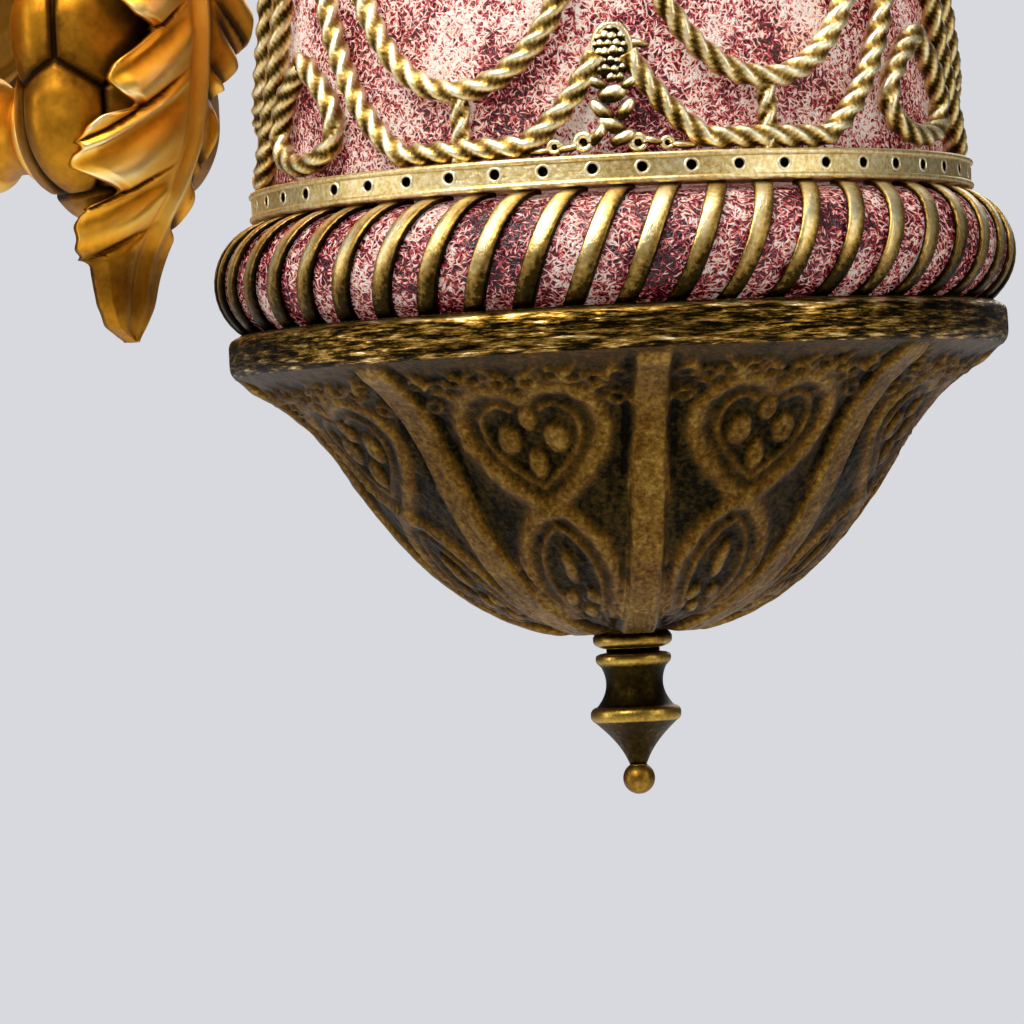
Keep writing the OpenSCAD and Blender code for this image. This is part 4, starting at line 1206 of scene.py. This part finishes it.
def wall_plate():
    """Oval plate with a gadrooned border and a raised field."""
    low, high = low_corner("wall_plate"), high_corner("wall_plate")
    depth = high[1] - low[1]
    r = half_width("wall_plate")
    straight = high[2] - low[2] - 2 * r
    cols, lobes, lip = 720, 56, 9.5
    share = np.linspace(0, 1, cols, endpoint=False)
    d = share * (2 * straight + 2 * math.pi * r)
    turn = np.clip((d - straight) / r, 0, math.pi)
    turn += np.clip((d - 2 * straight) / r - math.pi, 0, math.pi)
    nx, nz = np.cos(turn), np.sin(turn)
    x = r * nx
    z = r * nz - straight / 2 + np.clip(d, 0, straight)
    z -= np.clip(d - straight - math.pi * r, 0, straight)
    wave = 0.5 * np.cos(2 * math.pi * lobes * share)
    inset = np.concatenate([np.linspace(0, 3, 8), np.linspace(3.3, 16, 30),
                            np.linspace(16.4, 30, 20)])[:, None]
    height = np.interp(
        inset, [0, 0.8, 2.2, 3.0, 3.6, 6, 10, 14, 16, 17, 19, 21, 24, 30],
        [4.5, 6.3, 7.0, 6.3, 5.6, 7.4, 9.6, 10.8, 10.4, 11.6, 12.6, 11.9, 12.6, 13.9])
    scallop = bump(inset - 9.5, 4.6) * wave
    rise = np.minimum(height + 1.6 * scallop, depth)
    wear_and_painted_light = 0.55 + 0.35 * scallop + 0.2 * bump(inset - 2, 1)
    wear_and_painted_light = wear_and_painted_light - 0.4 * bump(inset - 3.4, 0.6) - 0.35 * bump(inset - 16.2, 0.7)

    def outline(inwards, y):
        return np.stack(np.broadcast_arrays(x - inwards * nx, y, z - inwards * nz), -1)

    verts = np.concatenate([
        outline(lip, high[1] - depth + 3.2)[None], outline(lip, high[1])[None],
        outline(0, high[1])[None], outline(inset, high[1] - rise)])
    values = np.concatenate([np.full((3, cols), 0.3), np.clip(wear_and_painted_light, 0, 1)])
    Solid().add(verts, capped(len(verts), cols, flip=True), values).on_bracket(
        "gilt_wall_plate", "wall_plate")


wall_plate()


# ---------------------------------------------------------------- camera, light and stage

def look(azimuth, distance, rise, side, pitch, roll, lens):
    """Camera on a level ring round the lantern's axis, turned a little off it."""
    a = math.radians(azimuth)
    back = Vector((math.sin(a), -math.cos(a), 0))
    right = Vector((math.cos(a), math.sin(a), 0))
    centre = Vector((0, AXIS_Y * MM, 0))
    data = bpy.data.cameras.new("camera")
    data.lens = lens
    data.sensor_width = 36
    data.clip_start = 0.05
    data.clip_end = 60
    camera = bpy.data.objects.new("camera", data)
    bpy.context.scene.collection.objects.link(camera)
    place = centre + back * distance - right * side + Vector((0, 0, rise))
    turn = (Matrix.Rotation(a, 4, "Z") @ Matrix.Rotation(math.radians(90 + pitch), 4, "X")
            @ Matrix.Rotation(math.radians(-roll), 4, "Z"))
    camera.matrix_world = Matrix.Translation(place) @ turn
    bpy.context.scene.camera = camera


def area_light(name, azimuth, elevation, distance, size, power):
    a, e = math.radians(azimuth), math.radians(elevation)
    centre = Vector((0, AXIS_Y * MM, -0.08))
    away = Vector((math.sin(a) * math.cos(e), -math.cos(a) * math.cos(e), math.sin(e)))
    data = bpy.data.lights.new(name, "AREA")
    data.shape = "RECTANGLE"
    data.size, data.size_y = size
    data.energy = power
    lamp = bpy.data.objects.new(name, data)
    bpy.context.scene.collection.objects.link(lamp)
    lamp.location = centre + away * distance
    lamp.rotation_euler = away.to_track_quat("Z", "Y").to_euler()


def stage():
    """Pale floor well below the lamp, with a little light of its own to look as pale as it should."""
    size, floor_z, pale = 7.5, -1.1, (0.74, 0.75, 0.78)
    corners = [(x * size, y * size, floor_z) for x, y in ((-1, -1), (1, -1), (1, 1), (-1, 1))]
    mesh = bpy.data.meshes.new("floor")
    mesh.from_pydata(corners, [], [(0, 1, 2, 3)])
    floor = bpy.data.objects.new("floor", mesh)
    bpy.context.scene.collection.objects.link(floor)
    paint = plain("floor_paint", pale, 0.9, grain=3, contrast=0.01)
    socket = paint.node_tree.nodes["Principled BSDF"].inputs
    socket["Emission Color"].default_value = (*pale, 1)
    socket["Emission Strength"].default_value = 0.3
    mesh.materials.append(paint)


def world():
    """Pale studio surround, dimmer in reflections than straight on so that the metal keeps shape."""
    w = bpy.data.worlds.new("studio")
    bpy.context.scene.world = w
    w.use_nodes = True
    nodes = w.node_tree.nodes
    nodes.clear()
    path, where, split, ramp, seen, lit, mix, out = (nodes.new("ShaderNode" + kind) for kind in (
        "LightPath", "TexCoord", "SeparateXYZ", "ValToRGB", "Background", "Background",
        "MixShader", "OutputWorld"))
    seen.inputs["Color"].default_value = (0.687, 0.694, 0.730, 1)
    stops = ((0.35, (0.07, 0.07, 0.072, 1)), (0.95, (0.26, 0.26, 0.265, 1)))
    for element, (position, colour) in zip(ramp.color_ramp.elements, stops):
        element.position = position
        element.color = colour
    for source, socket in (
        (where.outputs["Generated"], split.inputs[0]), (split.outputs["Z"], ramp.inputs["Fac"]),
        (ramp.outputs["Color"], lit.inputs["Color"]),
        (path.outputs["Is Camera Ray"], mix.inputs["Fac"]), (lit.outputs[0], mix.inputs[1]),
        (seen.outputs[0], mix.inputs[2]), (mix.outputs[0], out.inputs["Surface"]),
    ):
        w.node_tree.links.new(source, socket)


look(VIEW_AZIMUTH, distance=1.3, rise=(BASE_Z + 16.0) * MM, side=25.7 * MM, pitch=0.52, roll=2.75,
     lens=203.1)
area_light("key", VIEW_AZIMUTH - 30, 42, 1.5, (0.8, 0.9), 34)
area_light("fill", VIEW_AZIMUTH + 55, 10, 1.8, (0.35, 1.5), 10)
area_light("side", VIEW_AZIMUTH - 80, 5, 1.8, (0.4, 1.5), 8)
area_light("top", VIEW_AZIMUTH - 5, 80, 1.5, (1.0, 1.0), 16)
area_light("back", VIEW_AZIMUTH + 165, 25, 2.0, (1.2, 1.2), 8)
stage()
world()
bpy.context.scene.view_settings.view_transform = "Standard"
